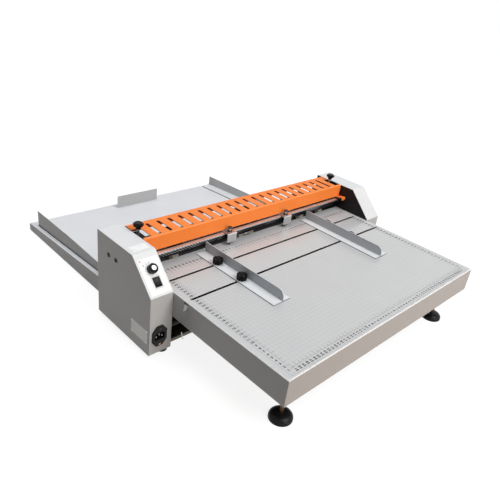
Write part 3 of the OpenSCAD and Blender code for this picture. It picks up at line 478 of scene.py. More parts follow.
@dataclass(frozen=True)
class BlackFrontedSteel(GroundSteel):
    """A polished angle with painted shade on its front leg and top, and painted reflections on both."""

    # Painted shade: the near-black of the front leg and of a strip at the back of the top.
    black: Colour = (0.012, 0.012, 0.014)
    # Painted reflection: the colour of the light slanting lines on the front leg, for the table's print
    # mirrored in it.
    score: Colour = (0.5, 0.51, 0.52)
    # Painted reflection: the salmon colour of the top, for the orange cover mirrored in it.
    glow: Colour = (0.95, 0.6, 0.47)
    below: float = 0.1752
    above: float = 0.1776
    # Depth behind which the top is painted near-black as shadow under the cover.
    back: float = -0.0622
    # Height above which the painted reflection lines on the front leg show at full strength.
    worn_from: float = 0.1675
    pitch: float = 0.008
    slant: float = 1.6

    def paint(self) -> None:
        """Sets up the steel, then paints shade and reflections on the front leg and the top."""
        graph = self.graph
        super().paint()
        x, y, z = (graph.axis(name) for name in "XYZ")
        # Painted reflection: slanting lines, broken up by a cloud, for the table's print mirrored in the bar.
        course = graph.calc("ADD", x, graph.times(z, self.slant))
        slant = graph.spread(graph.calc("FRACT", graph.calc("DIVIDE", course, self.pitch)), 0.5, 0.62)
        painted_grid_lines = graph.times(slant, graph.spread(graph.noise(0.12, 3.0), 0.4, 0.58, 0.05, 0.95))
        height = graph.spread(z, self.worn_from, self.worn_from + 0.002, 0.04, 1.0)
        # Painted shade and reflection: the front leg is near-black, with light lines that are strongest towards
        # its top.
        front = graph.blend(graph.times(painted_grid_lines, height), self.black, self.score)
        # Painted reflection: the same lines darken the steel of the bend.
        steel = graph.blend(painted_grid_lines, graph.worn(), self.black)
        flat = graph.past(z, self.above, 0.0003)
        # Painted reflection and shadow: the top is salmon in front and near-black behind.
        steel = graph.blend(flat, steel, graph.blend(graph.past(y, self.back, 0.0005), self.glow, self.black))
        graph.put("Metallic", graph.calc("SUBTRACT", 1.0, graph.times(flat, 0.5)))
        share = graph.spread(z, self.below - 0.0006, self.below + 0.0006, 1.0, 0.0)
        graph.put("Base Color", graph.blend(share, steel, front))


@dataclass(frozen=True)
class ScrewAndDiscs(GroundSteel):
    """A steel screw whose heads, above a height and between two others, are moulded in black."""

    black: Colour = (0.02, 0.02, 0.022)
    head: float = 0.1925
    collar: Flat = (0.1829, 0.1864)
    tip: float = 0.1534

    def paint(self) -> None:
        """Sets up the steel, then covers the heads."""
        graph = self.graph
        super().paint()
        height = graph.axis("Z")
        cover = graph.most(graph.spread(height, self.head - 0.0003, self.head),
                           graph.band(height, *self.collar, 0.0001),
                           graph.spread(height, self.tip, self.tip + 0.0002, 1.0, 0.0))
        graph.put("Base Color", graph.blend(cover, graph.worn(), self.black))
        graph.put("Metallic", graph.calc("SUBTRACT", 1.0, cover))


@dataclass(frozen=True)
class PinnedMoulding(Moulding):
    """A moulded mains inlet whose contact pins, deep in its well, are bare metal."""

    metal: Colour = (0.42, 0.41, 0.39)
    across: Flat = (-0.3825, -0.3655)
    depths: Flat = (-0.1772, -0.1623)
    heights: Flat = (0.0475, 0.0585)

    def paint(self) -> None:
        """Sets up the plastic, then bares the pins."""
        graph = self.graph
        super().paint()
        ranges = zip("XYZ", (self.across, self.depths, self.heights))
        inside = graph.times(*(graph.band(graph.axis(name), *ends, 0.0001) for name, ends in ranges))
        graph.put("Base Color", graph.blend(inside, graph.worn(), self.metal))
        graph.put("Metallic", inside)


# The upright shares and side tints in these finishes are painted shade on upright faces.
WHITE_COAT = PowderCoat("white_powder_coat", (0.76, 0.78, 0.80), 0.42, upright=0.74)
# The fold colours of this coat and the orange coat are painted highlights.
TABLE_COAT = SquaredCoat("squared_table_coat", (0.555, 0.565, 0.575), 0.36, depth=0.000008,
                         shine=0.5, upright=0.78, warmth=(1.0, 1.0, 1.0), crest=(0.98, 1.0, 1.0))
GREY_COAT = PowderCoat("light_grey_coat", (0.72, 0.735, 0.75), 0.4)
GUIDE_COAT = PowderCoat("guide_coat", (0.74, 0.765, 0.79), 0.4, upright=0.58, warmth=(0.97, 1.0, 1.03))
TRAY_COAT = PowderCoat("tray_coat", (0.82, 0.84, 0.87), 0.45, upright=0.64)
BLACK_COAT = PowderCoat("black_satin_coat", (0.012, 0.012, 0.013), 0.5, shine=0.2)
ORANGE_COAT = HoodCoat("orange_satin_coat", (1.0, 0.258, 0.048), 0.42, 0.002, 0.00002, 0.0014,
                       0.14, crest=(1.0, 0.37, 0.14))
WHITE_FILM = PowderCoat("white_film", (0.92, 0.93, 0.94), 0.3, 0.003, 0.00001, 0.0)
SILVER_FILM = PowderCoat("plate_film", (0.93, 0.93, 0.92), 0.4, 0.003, 0.00001, 0.0, 1.0)
CLIP_STEEL = GroundSteel("satin_clip_steel", (0.56, 0.565, 0.57), 0.4, Lay.ALONG_Z, 0.0012)
BLACK_STEEL = GroundSteel("blackened_steel", (0.05, 0.05, 0.052), 0.35, Lay.ROUND_X)
PAN_COAT = GroundSteel("dark_pan_sheet", (0.11, 0.1, 0.082), 0.34, Lay.ALONG_X, 0.002, 0.00002)
ROUND_STEEL = GroundSteel("turned_steel", (0.74, 0.745, 0.75), 0.24, Lay.ROUND_X)
UPRIGHT_STEEL = GroundSteel("drawn_steel", (0.74, 0.745, 0.75), 0.28, Lay.ALONG_Z)
YELLOW_ZINC = GroundSteel("dark_yellow_zinc", (0.15, 0.085, 0.05), 0.42, Lay.ALONG_Z, 0.002)
ZINC = GroundSteel("zinc_plate", (0.66, 0.68, 0.70), 0.38, Lay.ALONG_Z, 0.004, 0.00002, 0.0004, 0.14)
CAP_METAL = GroundSteel("turned_cap", (0.72, 0.73, 0.74), 0.3, Lay.ALONG_X, 0.0006, stain=0.3)
GEAR_STEEL = GroundSteel("oiled_gear_steel", (0.46, 0.465, 0.48), 0.3, Lay.ALONG_X, 0.001)
COPPER = GroundSteel("coppered_steel", (0.45, 0.2, 0.11), 0.4, Lay.ALONG_Z)
BRONZE = GroundSteel("bearing_bronze", (0.72, 0.50, 0.24), 0.3, Lay.ROUND_X)
BAR_STEEL = BlackFrontedSteel("black_fronted_steel", (0.33, 0.335, 0.34), 0.36, Lay.ALONG_X)
CLIP_SCREW = ScrewAndDiscs("screw_with_black_discs", (0.74, 0.745, 0.75), 0.28, Lay.ALONG_Z)
BLACK_PLASTIC = Moulding("black_moulding", (0.006, 0.006, 0.0065), 0.36, shine=0.15)
GLOSSY_BLACK = Moulding("glossy_black_moulding", (0.004, 0.004, 0.0045), 0.2, edge=0.0008, shine=0.3)
KNOB_PLASTIC = Moulding("knob_moulding", (0.003, 0.003, 0.0035), 0.2, edge=0.0004, shine=0.1)
INLET_PLASTIC = PinnedMoulding("inlet_moulding", (0.007, 0.007, 0.0075), 0.36, shine=0.15)
CREAM_RUBBER = Rubber("cream_roller_rubber", (0.93, 0.89, 0.77), 0.75)
BELT = Rubber("belt_rubber", (0.015, 0.015, 0.016), 0.8)
FOOT_RUBBER = Rubber("foot_rubber", (0.018, 0.018, 0.018), 0.85)
BOARD = CircuitLacquer("board_lacquer", (0.02, 0.16, 0.06), 0.3)
INK = Finish("grey_ink", (0.012, 0.012, 0.013), 0.6)
MID_INK = Finish("mid_grey_ink", (0.13, 0.135, 0.14), 0.6)
PALE_INK = Finish("pale_ink", (0.36, 0.37, 0.38), 0.6)
RED_INK = Finish("red_ink", (0.78, 0.26, 0.33), 0.5)
GREEN_INK = Finish("green_ink", (0.1, 0.42, 0.25), 0.5)
SHADE = Finish("seam_shade", (0.03, 0.03, 0.032), 0.9)


@dataclass(frozen=True)
class Sheet:
    """A flat place on the machine: where it starts, which way it reads and which way is up on it."""

    start: Place
    across: Place
    up: Place

    def point(self, u: float, v: float, w: float) -> Vector:
        """Returns the place that lies u across, v up and w out of the sheet."""
        across, up = Vector(self.across), Vector(self.up)
        return Vector(self.start) + across * u + up * v + across.cross(up) * w


TABLE_SHEET = Sheet((0.0, 0.0, TABLE_TOP), RIGHT, REARWARD)
TOP_SHEET = Sheet((0.0, 0.0, HOUSING_TOP), RIGHT, REARWARD)
SLOPE_SHEET = Sheet((0.0, 0.0, HOUSING_TOP), RIGHT, (0.0, math.cos(SLOPE_ANGLE), math.sin(SLOPE_ANGLE)))
LEFT_SHEET = Sheet((-398.0, 0.0, 0.0), (0.0, -1.0, 0.0), UP)
INLET_SHEET = Sheet((-374.0, -71.5, 53.0), RIGHT, UP)


def corners(area: Area) -> list[Flat]:
    """Returns a rectangle's corners, against the clock, from its left, right, near and far sides."""
    return [(area[0], area[2]), (area[1], area[2]), (area[1], area[3]), (area[0], area[3])]


def inset(area: Area, by: float) -> Area:
    """Returns a rectangle drawn in on all four sides."""
    return (area[0] + by, area[1] - by, area[2] + by, area[3] - by)


@dataclass
class DigitStore:
    """The flat outlines of plain numbers, made once from Blender's own letters."""

    height: float = 0.7
    weight: float = 0.045
    step: float = 0.82
    made: dict[str, tuple[list[Vector], list[tuple[int, ...]]]] = field(default_factory=dict)

    def outline(self, digit: str) -> tuple[list[Vector], list[tuple[int, ...]]]:
        """Makes or recalls one digit.

        Args:
            digit: The digit.

        Returns:
            Its points and the faces between them, one unit tall.
        """
        if digit not in self.made:
            curve = bpy.data.curves.new("digit", "FONT")
            curve.body = digit
            curve.resolution_u = 2
            curve.offset = self.weight
            holder = stand("digit", curve)
            graph = bpy.context.evaluated_depsgraph_get()
            mesh = bpy.data.meshes.new_from_object(holder.evaluated_get(graph))
            points = [vertex.co / self.height for vertex in mesh.vertices]
            order = 1 if mesh.polygons[0].normal.z > 0.0 else -1
            self.made[digit] = (points, [tuple(face.vertices)[::order] for face in mesh.polygons])
            bpy.data.objects.remove(holder)
            bpy.data.meshes.remove(mesh)
        return self.made[digit]


DIGITS = DigitStore()
Ring = list[bmesh.types.BMVert]
Wear = tuple[tuple[Finish, str], ...]


class Shape:
    """A mesh in the making, in the machine's millimetres."""

    screw_profile = ((1.0, 0.0), (1.0, 0.35), (0.9, 0.68), (0.72, 0.9), (0.55, 1.0), (0.53, 1.0), (0.48, 0.35))
    recess_start = 5
    cross_core = 0.3
    cross_power = 6
    sharp_angle = math.radians(40.0)

    def __init__(self) -> None:
        """Starts empty."""
        self.mesh = bmesh.new()

    def ring(self, outline: Sequence[Flat], sheet: Sheet, height: float) -> Ring:
        """Returns new corners along an outline at one height over a sheet."""
        return [self.mesh.verts.new(sheet.point(u, v, height)) for u, v in outline]

    def skin(self, rings: Sequence[Ring], closed: bool = True) -> "Shape":
        """Joins each ring of corners to the next.

        Args:
            rings: The rings from the bottom up, with the same number of corners in each.
            closed: Whether the first and the last are faces too.

        Returns:
            This shape.
        """
        if closed:
            self.mesh.faces.new(rings[-1])
            self.mesh.faces.new(rings[0][::-1])
        for below, above in zip(rings, rings[1:]):
            for i in range(len(below)):
                j = (i + 1) % len(below)
                self.mesh.faces.new((below[i], below[j], above[j], above[i]))
        return self

    def prism(self, outline: Sequence[Flat], sheet: Sheet, high: float, low: float = 0.0) -> "Shape":
        """Raises an outline, given against the clock, from one height over a sheet to another."""
        return self.skin([self.ring(outline, sheet, height) for height in (low, high)])

    def strip(self, area: Area, sheet: Sheet, high: float, low: float = 0.0) -> "Shape":
        """Adds a straight-sided strip on a sheet."""
        return self.prism(corners(area), sheet, high, low)

    def border(self, outer: Area, inner: Area, sheet: Sheet, high: float, low: float = 0.0) -> "Shape":
        """Adds a flat rectangle with a rectangular opening."""
        rings = [self.ring(corners(area), sheet, height) for height in (low, high) for area in (outer, inner)]
        return self.skin([rings[i] for i in (0, 2, 3, 1, 0)], closed=False)

    def turned(self, profile: Sequence[Flat], sheet: Sheet, centre: Flat = (0.0, 0.0), steps: int = 32,
               swell: Callable[[int, float], float] | None = None) -> "Shape":
        """Turns a profile about a line out of a sheet.

        Args:
            profile: Each ring's radius and height, from the bottom up.
            sheet: The sheet that it stands on.
            centre: Where the line leaves the sheet.
            steps: The number of corners in a ring.
            swell: A ring's share of its radius at an angle, where it isn't round.

        Returns:
            This shape.
        """
        rings = []
        for index, (radius, height) in enumerate(profile):
            outline = []
            for angle in (2.0 * math.pi * i / steps for i in range(steps)):
                reach = radius * (swell(index, angle) if swell else 1.0)
                outline.append((centre[0] + reach * math.cos(angle), centre[1] + reach * math.sin(angle)))
            rings.append(self.ring(outline, sheet, height))
        return self.skin(rings)

    def number(self, value: str, sheet: Sheet, place: Flat, height: float, turn: float = 0.0) -> "Shape":
        """Prints a number on a sheet, centred across its place.

        Args:
            value: The digits.
            sheet: The sheet.
            place: The middle of its foot.
            height: How tall its digits are.
            turn: The angle at which it reads, in radians.

        Returns:
            This shape.
        """
        cos, sin = math.cos(turn), math.sin(turn)
        for position, digit in enumerate(value):
            points, faces = DIGITS.outline(digit)
            start = DIGITS.step * (position - len(value) / 2.0)
            flat = [((point.x + start) * height, point.y * height) for point in points]
            outline = [(place[0] + u * cos - v * sin, place[1] + u * sin + v * cos) for u, v in flat]
            foot, top = (self.ring(outline, sheet, level) for level in (0.0, INK_RISE))
            edges = {(face[i - 1], face[i]) for face in faces for i in range(len(face))}
            for face in faces:
                self.mesh.faces.new([top[i] for i in face])
                self.mesh.faces.new([foot[i] for i in reversed(face)])
            for i, j in sorted(edges):
                if (j, i) not in edges:
                    self.mesh.faces.new((foot[i], foot[j], top[j], top[i]))
        return self

    def screw_head(self, sheet: Sheet, place: Flat, size: Flat, low: float = 0.0,
                   drive: Drive = Drive.HEX) -> "Shape":
        """Adds a domed screw head with its recess.

        Args:
            sheet: The sheet that it is screwed into.
            place: The head's middle.
            size: Its radius and how far it stands up.
            low: The height of the face under it.
            drive: The recess that it has.

        Returns:
            This shape.
        """
        def recess(index: int, angle: float) -> float:
            """Shapes the recess.

            Args:
                index: The ring's place in the profile.
                angle: The angle round the head.

            Returns:
                The recess's share of the ring's radius.
            """
            if index < self.recess_start:
                return 1.0
            if drive is Drive.HEX:
                sixth = math.pi / 3.0
                return math.cos(sixth / 2.0) / math.cos((angle % sixth) - sixth / 2.0)
            arm = abs(math.cos(2.0 * angle)) ** self.cross_power
            return self.cross_core + (1.0 - self.cross_core) * arm

        profile = [(size[0] * across, low + size[1] * up) for across, up in self.screw_profile]
        return self.turned(profile, sheet, place, swell=recess)

    def piece(self, name: str, finish: Finish, body: str,
              bevel: float = 0.0) -> bpy.types.Object:
        """Makes the finished object and hangs it on its body.

        Args:
            name: The piece's name.
            finish: The finish that it wears.
            body: The moving group that it rides on.
            bevel: The radius of its edges in millimetres.

        Returns:
            The new object.
        """
        for vertex in self.mesh.verts:
            vertex.co = to_frame(*vertex.co)
        data = bpy.data.meshes.new(name)
        self.mesh.to_mesh(data)
        self.mesh.free()
        data.shade_smooth()
        data.set_sharp_from_angle(angle=self.sharp_angle)
        data.materials.append(finish.material)
        made = stand(name, data)
        if bevel > 0.0:
            rounding = made.modifiers.new("edges", "BEVEL")
            rounding.width = bevel / 1000.0
            rounding.segments = 3
            rounding.limit_method = "ANGLE"
        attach(made, body)
        return made


@dataclass
class SubAssembly:
    """A group of pieces that a fitter would put together on one bench, and what its CAD nodes wear."""

    wear: Wear = ()
    made: list[str] = field(default_factory=list)

    def dress(self) -> None:
        """Gives each CAD node its finish."""
        for finish, names in self.wear:
            for name in names.split():
                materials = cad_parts[name].data.materials
                materials.clear()
                materials.append(finish.material)
                self.made.append(name)

    def add(self, shape: Shape, name: str, finish: Finish, body: str = "root", slot: str | None = None,
            bevel: float = 0.0) -> None:
        """Makes a piece of a shape and notes it."""
        self.made.append(shape.piece(name, finish, body, bevel).name)

    def build(self) -> None:
        """Builds the pieces that the CAD leaves out, where there are any."""

    def report(self) -> None:
        """Logs the pieces that were made."""
        for name in self.made:
            LOG.info("%s: %s", type(self).__name__, name)


@dataclass
class Housings(SubAssembly):
    """The two end housings, their black inner plates, the dark pan and the bars between them."""

    wear: Wear = (
        (WHITE_COAT, "left_housing right_housing"), (BLACK_COAT, "left_side_plate right_side_plate"),
        (PAN_COAT, "base_pan"), (BLACK_STEEL, "tie_bars"), (FOOT_RUBBER, "housing_feet"),
    )
    label: Area = (-390.0, -348.0, 7.0, 32.0)
    label_line: Flat = (1.05, 1.35)
    label_heights: Three = (GAP, 0.12, 0.16)
    plate: Area = (1.6, 61.5, 34.5, 67.0)
    plate_line: float = 1.0
    plate_heights: Three = (GAP, 0.45, 0.52)
    rivet: Flat = (1.3, 0.7)
    rivet_inset: float = 3.0
    inner_face: float = 344.0
    screws: tuple[Flat, ...] = ((-39.5, 51.0), (115.0, 51.0))
    screw: Flat = (2.6, 1.6)
    tool_holes: tuple[Flat, ...] = ((-88.8, 176.0), (-60.2, 176.3))
    rim: tuple[Flat, ...] = ((3.95, -0.8), (3.95, 0.7), (4.4, 0.9), (5.2, 0.6), (5.4, GAP))
    pin: tuple[Flat, ...] = ((1.6, 0.0), (1.6, 1.2), (0.7, 1.6), (0.7, 19.5), (1.4, 20.2), (1.0, 21.0))
    pin_foot: Sheet = Sheet((-303.0, -60.0, 6.6), (0.97, 0.0, 0.243), REARWARD)
    stud: Flat = (2.4, 3.4)
    stud_foot: Sheet = Sheet((-342.9, -61.0, 14.0), REARWARD, UP)

    def build(self) -> None:
        """Builds the pieces that the CAD leaves out."""
        self.build_label()
        self.build_rating_plate()
        self.build_fasteners()
        self.add(Shape().turned(self.pin, self.pin_foot, steps=16), "cable_pin", UPRIGHT_STEEL)
        self.add(Shape().screw_head(self.stud_foot, (0.0, 0.0), self.stud), "earth_stud", BRONZE)

    def build_label(self) -> None:
        """Adds the bare label on top of the left housing."""
        low, face, line = self.label_heights
        self.add(Shape().strip(self.label, TOP_SHEET, face, low), "blank_label", WHITE_FILM)
        outer, inner = (inset(self.label, by) for by in self.label_line)
        self.add(Shape().border(outer, inner, TOP_SHEET, line, face), "blank_label_border", PALE_INK)

    def build_rating_plate(self) -> None:
        """Adds the bare rating plate on the left face, with its border and its rivets."""
        low, face, line = self.plate_heights
        plate = Shape().strip(self.plate, LEFT_SHEET, face, low)
        self.add(plate, "blank_rating_plate", SILVER_FILM, bevel=0.2)
        edge = Shape().border(self.plate, inset(self.plate, self.plate_line), LEFT_SHEET, line, face)
        self.add(edge, "blank_rating_plate_border", WHITE_FILM)
        rivets = Shape()
        for place in corners(inset(self.plate, self.rivet_inset)):
            rivets.screw_head(LEFT_SHEET, place, self.rivet, face)
        self.add(rivets, "rating_plate_rivets", UPRIGHT_STEEL)

    def build_fasteners(self) -> None:
        """Adds the screws of the side plates and the rims of the two tool holes."""
        for side, sign in SIDES:
            inner = Sheet((sign * self.inner_face, 0.0, 0.0), (0.0, -sign, 0.0), UP)
            heads = Shape()
            for y, z in self.screws:
                heads.screw_head(inner, (-sign * y, z), self.screw, GAP)
            self.add(heads, f"{side}_plate_screws", BLACK_PLASTIC, slot="black_coat")
        rims = Shape()
        for place in self.tool_holes:
            rims.turned(self.rim, LEFT_SHEET, place)
        self.add(rims, "tool_hole_rims", KNOB_PLASTIC)


@dataclass(frozen=True)
class Ruler:
    """A printed ruler: its numbers, where its zero lies, and the edge that its ticks start from.

    Fine, short and long ticks each have a reach, and short and long ones half a width. The digits have a
    place along and across the ruler and a height. An upright ruler runs to the rear of the table.
    """

    name: str
    steps: range
    start: float
    edge: float
    reach: Three
    half: float
    digits: Three
    upright: bool = False
    first_long: int = 0


@dataclass
class FeedTable(SubAssembly):
    """The feed table with its printed rulers, its rail and the two levelling feet."""

    wear: Wear = (
        (TABLE_COAT, "feed_table"), (TRAY_COAT, "table_rail"),
        (BLACK_PLASTIC, "left_levelling_foot right_levelling_foot"),
        (YELLOW_ZINC, "left_foot_stud right_foot_stud"),
    )
    half_width: float = 342.5
    squares: Area = (-328.5, 328.5, -384.0, 44.0)
    line_half: float = 0.35
    pitch: float = 10.0
    slots: Flat = (-110.0, -30.0)
    slot_reach: float = 4.4
    fine: tuple[float, ...] = (2.0, 4.0, 6.0, 8.0)
    fine_half: float = 0.12
    rulers: tuple[Ruler, ...] = (
        Ruler("front", range(-31, 32), 0.0, -370.0, (3.5, 8.0, 11.0), 0.35, (2.6, -376.8, 5.2)),
        Ruler("left", range(1, 35), -380.0, -317.0, (3.5, 7.0, 10.0), 0.35, (-2.6, -322.4, 5.2), True, 1),
        Ruler("right", range(1, 35), -380.0, 317.0, (-3.5, -7.0, -10.0), 0.35, (-2.6, 322.4, 5.2), True, 1),
        Ruler("rear", range(-32, 33), 0.0, 4.5, (0.0, -8.0, -11.0), 0.4, (2.3, 10.0, 4.6)),
    )
    lug: tuple[Flat, ...] = ((-5.5, 0.0), (5.5, 0.0), (4.5, 9.0), (-1.5, 14.0))
    lug_place: Flat = (-111.0, 140.5)
    lug_fall: Flat = (0.34, -0.94)
    lug_half: float = 0.6
    end_plate: Area = (-9.0, 9.0, -9.0, 7.5)
    end_place: Place = (7.0, -110.0, 139.0)
    end_half: float = 0.5

    def build(self) -> None:
        """Builds the pieces that the CAD leaves out."""
        self.build_outline()
        for ruler in self.rulers:
            self.build_ruler(ruler)
        for name, sign in SIDES:
            self.build_lug(name, sign)

    def build_outline(self) -> None:
        """Prints the line that runs round three sides of the squared field."""
        left, right, low, high = self.squares
        wide = self.line_half
        lines = Shape().strip((left, right, low - wide, low + wide), TABLE_SHEET, INK_RISE)
        for u in (left, right):
            lines.strip((u - wide, u + wide, low, high), TABLE_SHEET, INK_RISE)
        self.add(lines, "table_border_line", PALE_INK)

    def is_solid(self, v: float) -> bool:
        """Returns whether the table has no slot at a place along it."""
        return all(abs(v - slot) > self.slot_reach for slot in self.slots)

    def build_ruler(self, ruler: Ruler) -> None:
        """Prints the ticks and numbers of a ruler, with none over a slot.

        Args:
            ruler: The ruler.
        """
        ticks, numbers = Shape(), Shape()
        fine, short, long = ruler.reach
        along, across, height = ruler.digits
        for step in ruler.steps:
            start = ruler.start + step * self.pitch
            marks = [(start, ruler.half, short if (step - ruler.first_long) % 5 else long)]
            marks += [(start + near, self.fine_half, fine) for near in self.fine if fine]
            for at, half, reach in marks:
                if ruler.upright and not self.is_solid(at):
                    continue
                span, ends = (at - half, at + half), sorted((ruler.edge, ruler.edge + reach))
                ticks.strip((*ends, *span) if ruler.upright else (*span, *ends), TABLE_SHEET, INK_RISE)
                if at == start:
                    place, turn = (start + along, across), math.pi / 2.0
                    if ruler.upright:
                        place, turn = place[::-1], 0.0
                    numbers.number(str(abs(step)), TABLE_SHEET, place, height, turn)
        self.add(ticks, f"{ruler.name}_ruler_ticks", MID_INK)
        self.add(numbers, f"{ruler.name}_ruler_numbers", INK)

    def build_lug(self, name: str, sign: float) -> None:
        """Folds out the small lip under a nut window and sets the plate behind it.

        Args:
            name: Which side it is.
            sign: Minus one on the left and one on the right.
        """
        lean, fall = self.lug_fall
        outside = Sheet((sign * self.half_width, *self.lug_place), (0.0, -sign, 0.0), (sign * lean, 0.0, fall))
        lug = Shape().prism([(u * sign, v) for u, v in self.lug], outside, self.lug_half * sign,
                            -self.lug_half * sign)
        self.add(lug, f"{name}_apron_lug", TRAY_COAT, bevel=0.2)
        inset_x, y, z = self.end_place
        inside = Sheet((sign * (self.half_width - inset_x), y, z), (0.0, -sign, 0.0), UP)
        plate = Shape().strip(self.end_plate, inside, self.end_half, -self.end_half)
        self.add(plate, f"{name}_slot_end_plate", ZINC, bevel=0.15)


@dataclass
class SideGuides(SubAssembly):
    """The two sliding paper guides and the star knobs that clamp them."""

    wear: Wear = (
        (GUIDE_COAT, "left_guide right_guide"),
        (KNOB_PLASTIC, "left_front_knob left_rear_knob right_front_knob right_rear_knob"),
    )
    bases: tuple[tuple[str, float, float], ...] = (("left", -205.0, -155.0), ("right", 162.0, 212.0))
    front: float = -220.0
    rear: float = 31.5
    seam: float = 0.7
    seam_heights: Flat = (0.06, 0.14)
    knobs: tuple[str, ...] = ("left_front", "left_rear", "right_front", "right_rear")
    dish_depth: float = 1.5
    cap: tuple[Flat, ...] = ((6.4, 0.05), (6.4, 1.7), (5.9, 2.6), (4.4, 3.4), (2.2, 3.8))

    def build(self) -> None:
        """Builds the pieces that the CAD leaves out."""
        self.build_seams()
        self.build_caps()

    def build_seams(self) -> None:
        """Lays a painted shadow line for the gap between each base's edges and the table."""
        low, high = self.seam_heights
        for name, near, far in self.bases:
            left, front = near - self.seam, self.front - self.seam
            outline = ((left, front), (far, front), (far, self.front), (near, self.front), (near, self.rear),
                       (left, self.rear))
            # Painted shadow: a thin dark strip on the table along the base's edges.
            line = Shape().prism(outline, TABLE_SHEET, high, low)
            self.add(line, f"{name}_guide_seam", SHADE, f"{name}_side_guide")

    def build_caps(self) -> None:
        """Sets a domed cap in the dish on top of each clamp knob."""
        for name in self.knobs:
            low, high = (Vector(corner) * 1000.0 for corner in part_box(f"{name}_knob"))
            middle = (low + high) / 2.0
            dish = Sheet((middle.x, middle.y + MID_Y, high.z - self.dish_depth), RIGHT, REARWARD)
            self.add(Shape().turned(self.cap, dish), f"{name}_knob_cap", KNOB_PLASTIC, f"{name}_clamp")


@dataclass
class HoldDowns(SubAssembly):
    """The steel bar over the infeed, and the two spring clips that slide on it."""

    wear: Wear = (
        (BAR_STEEL, "guide_bar"), (CLIP_STEEL, "left_clip right_clip"),
        (CLIP_SCREW, "left_clip_screw right_clip_screw"),
    )


@dataclass
class RollerSection(SubAssembly):
    """The feed wheels, the creasing ring and disc, their gears and the sprung carriage."""

    wear: Wear = (
        (ROUND_STEEL, "upper_shaft creasing_ring creasing_disc"), (BLACK_STEEL, "lower_shaft"),
        (CREAM_RUBBER, "lower_wheels"), (BELT, "upper_wheels"), (GEAR_STEEL, "lower_gear upper_gear"),
        (BRONZE, "lower_bearings upper_bearings"), (ZINC, "lift_springs"), (BLACK_COAT, "pressure_frames"),
        (GREY_COAT, "exit_plate"),
    )


@dataclass
class SlottedCover(SubAssembly):
    """The orange hinged cover and its pins."""

    wear: Wear = ((ORANGE_COAT, "cover"), (ROUND_STEEL, "hinge_pins"))


@dataclass
class PressureKnobs(SubAssembly):
    """The two star knobs that press the upper carriage down."""

    wear: Wear = (
        (KNOB_PLASTIC, "left_pressure_knob right_pressure_knob"),
        (UPRIGHT_STEEL, "left_pressure_screw right_pressure_screw"),
    )


@dataclass
class ControlPanel(SubAssembly):
    """The speed dial and the rocker switch on the sloping face, with the printed film round them."""

    wear: Wear = (
        (BLACK_PLASTIC, "speed_knob speed_control switch_frame"), (GLOSSY_BLACK, "rocker_button"),
        (CAP_METAL, "knob_cap"),
    )
    film: Area = (-393.0, -346.0, -92.0, -13.4)
    switch: Area = (-380.0, -358.0, -81.0, -53.5)
    film_heights: Flat = (GAP, 0.12)
    ink_top: float = 0.17
    dial: Flat = (-370.3, -39.4)
    ticks: int = 11
    start: float = math.radians(240.0)
    sweep: float = math.radians(300.0)
    tick_ends: Three = (13.2, 15.4, 16.4)
    tick_half: float = 0.22
    red_place: Flat = (-388.6, -17.6)
    red_radii: Flat = (2.0, 1.2)
    green_place: Flat = (-384.6, -27.6)
    green_radius: float = 1.5

    def build(self) -> None:
        """Builds the pieces that the CAD leaves out."""
        low, face = self.film_heights
        self.add(Shape().border(self.film, self.switch, SLOPE_SHEET, face, low), "panel_film", WHITE_FILM)
        self.build_ticks()
        wide, narrow = self.red_radii
        ring = [(wide, face), (wide, self.ink_top), (narrow, self.ink_top), (narrow, face + 0.01)]
        self.add(Shape().turned(ring, SLOPE_SHEET, self.red_place, 24), "red_mark", RED_INK)
        spot = [(self.green_radius, height) for height in (face, self.ink_top)]
        self.add(Shape().turned(spot, SLOPE_SHEET, self.green_place, 24), "green_mark", GREEN_INK)

    def build_ticks(self) -> None:
        """Prints the dial's ticks, a longer one at every fifth."""
        marks = Shape()
        near, short, long = self.tick_ends
        for step in range(self.ticks):
            angle = self.start - self.sweep * step / (self.ticks - 1)
            cos, sin = math.cos(angle), math.sin(angle)
            tick = corners((near, short if step % 5 else long, -self.tick_half, self.tick_half))
            marks.prism([(self.dial[0] + r * cos - t * sin, self.dial[1] + r * sin + t * cos) for r, t in tick],
                        SLOPE_SHEET, self.ink_top, self.film_heights[1])
        self.add(marks, "dial_ticks", INK)


@dataclass
class PowerInlet(SubAssembly):
    """The mains inlet on the front of the left housing, with its two screws."""

    wear: Wear = ((INLET_PLASTIC, "power_inlet"),)
    screws: tuple[tuple[str, Flat, Finish], ...] = (
        ("upper", (0.7, 17.3), BLACK_STEEL), ("lower", (0.2, -20.8), COPPER),
    )
    screw: Flat = (2.6, 1.3)

    def build(self) -> None:
        """Builds the pieces that the CAD leaves out."""
        for name, place, finish in self.screws:
            head = Shape().screw_head(INLET_SHEET, place, self.screw, GAP, Drive.CROSS)
            self.add(head, f"{name}_inlet_screw", finish, slot="steel")


@dataclass
class CatchTray(SubAssembly):
    """The sloping tray behind the machine, with its two side fences and its stop."""

    wear: Wear = ((TRAY_COAT, "catch_tray left_tray_guide right_tray_guide tray_stop"),)
    seams: tuple[tuple[str, float, float], ...] = (("left", -340.4, 442.2), ("right", 284.0, 461.3))
    seam_start: float = 12.1
    seam_width: float = 2.4
    seam_heights: Flat = (0.05, 0.3)
    front: Flat = (135.3, 48.0)
    rear: Flat = (604.0, 21.0)

    def build(self) -> None:
        """Builds the pieces that the CAD leaves out."""
        self.build_seams()

    def build_seams(self) -> None:
        """Lays a painted shadow line for the gap between each guide and the tray."""
        start = Vector((0.0, *self.front))
        fall = (Vector((0.0, *self.rear)) - start).normalized()
        bed = Sheet(tuple(start), RIGHT, tuple(fall))
        low, high = self.seam_heights
        for name, u, end in self.seams:
            # Painted shadow: a thin dark strip on the tray along the fence's foot.
            line = Shape().strip((u - self.seam_width, u, self.seam_start, end), bed, high, low)
            self.add(line, f"{name}_fence_seam", SHADE, f"{name}_tray_side")


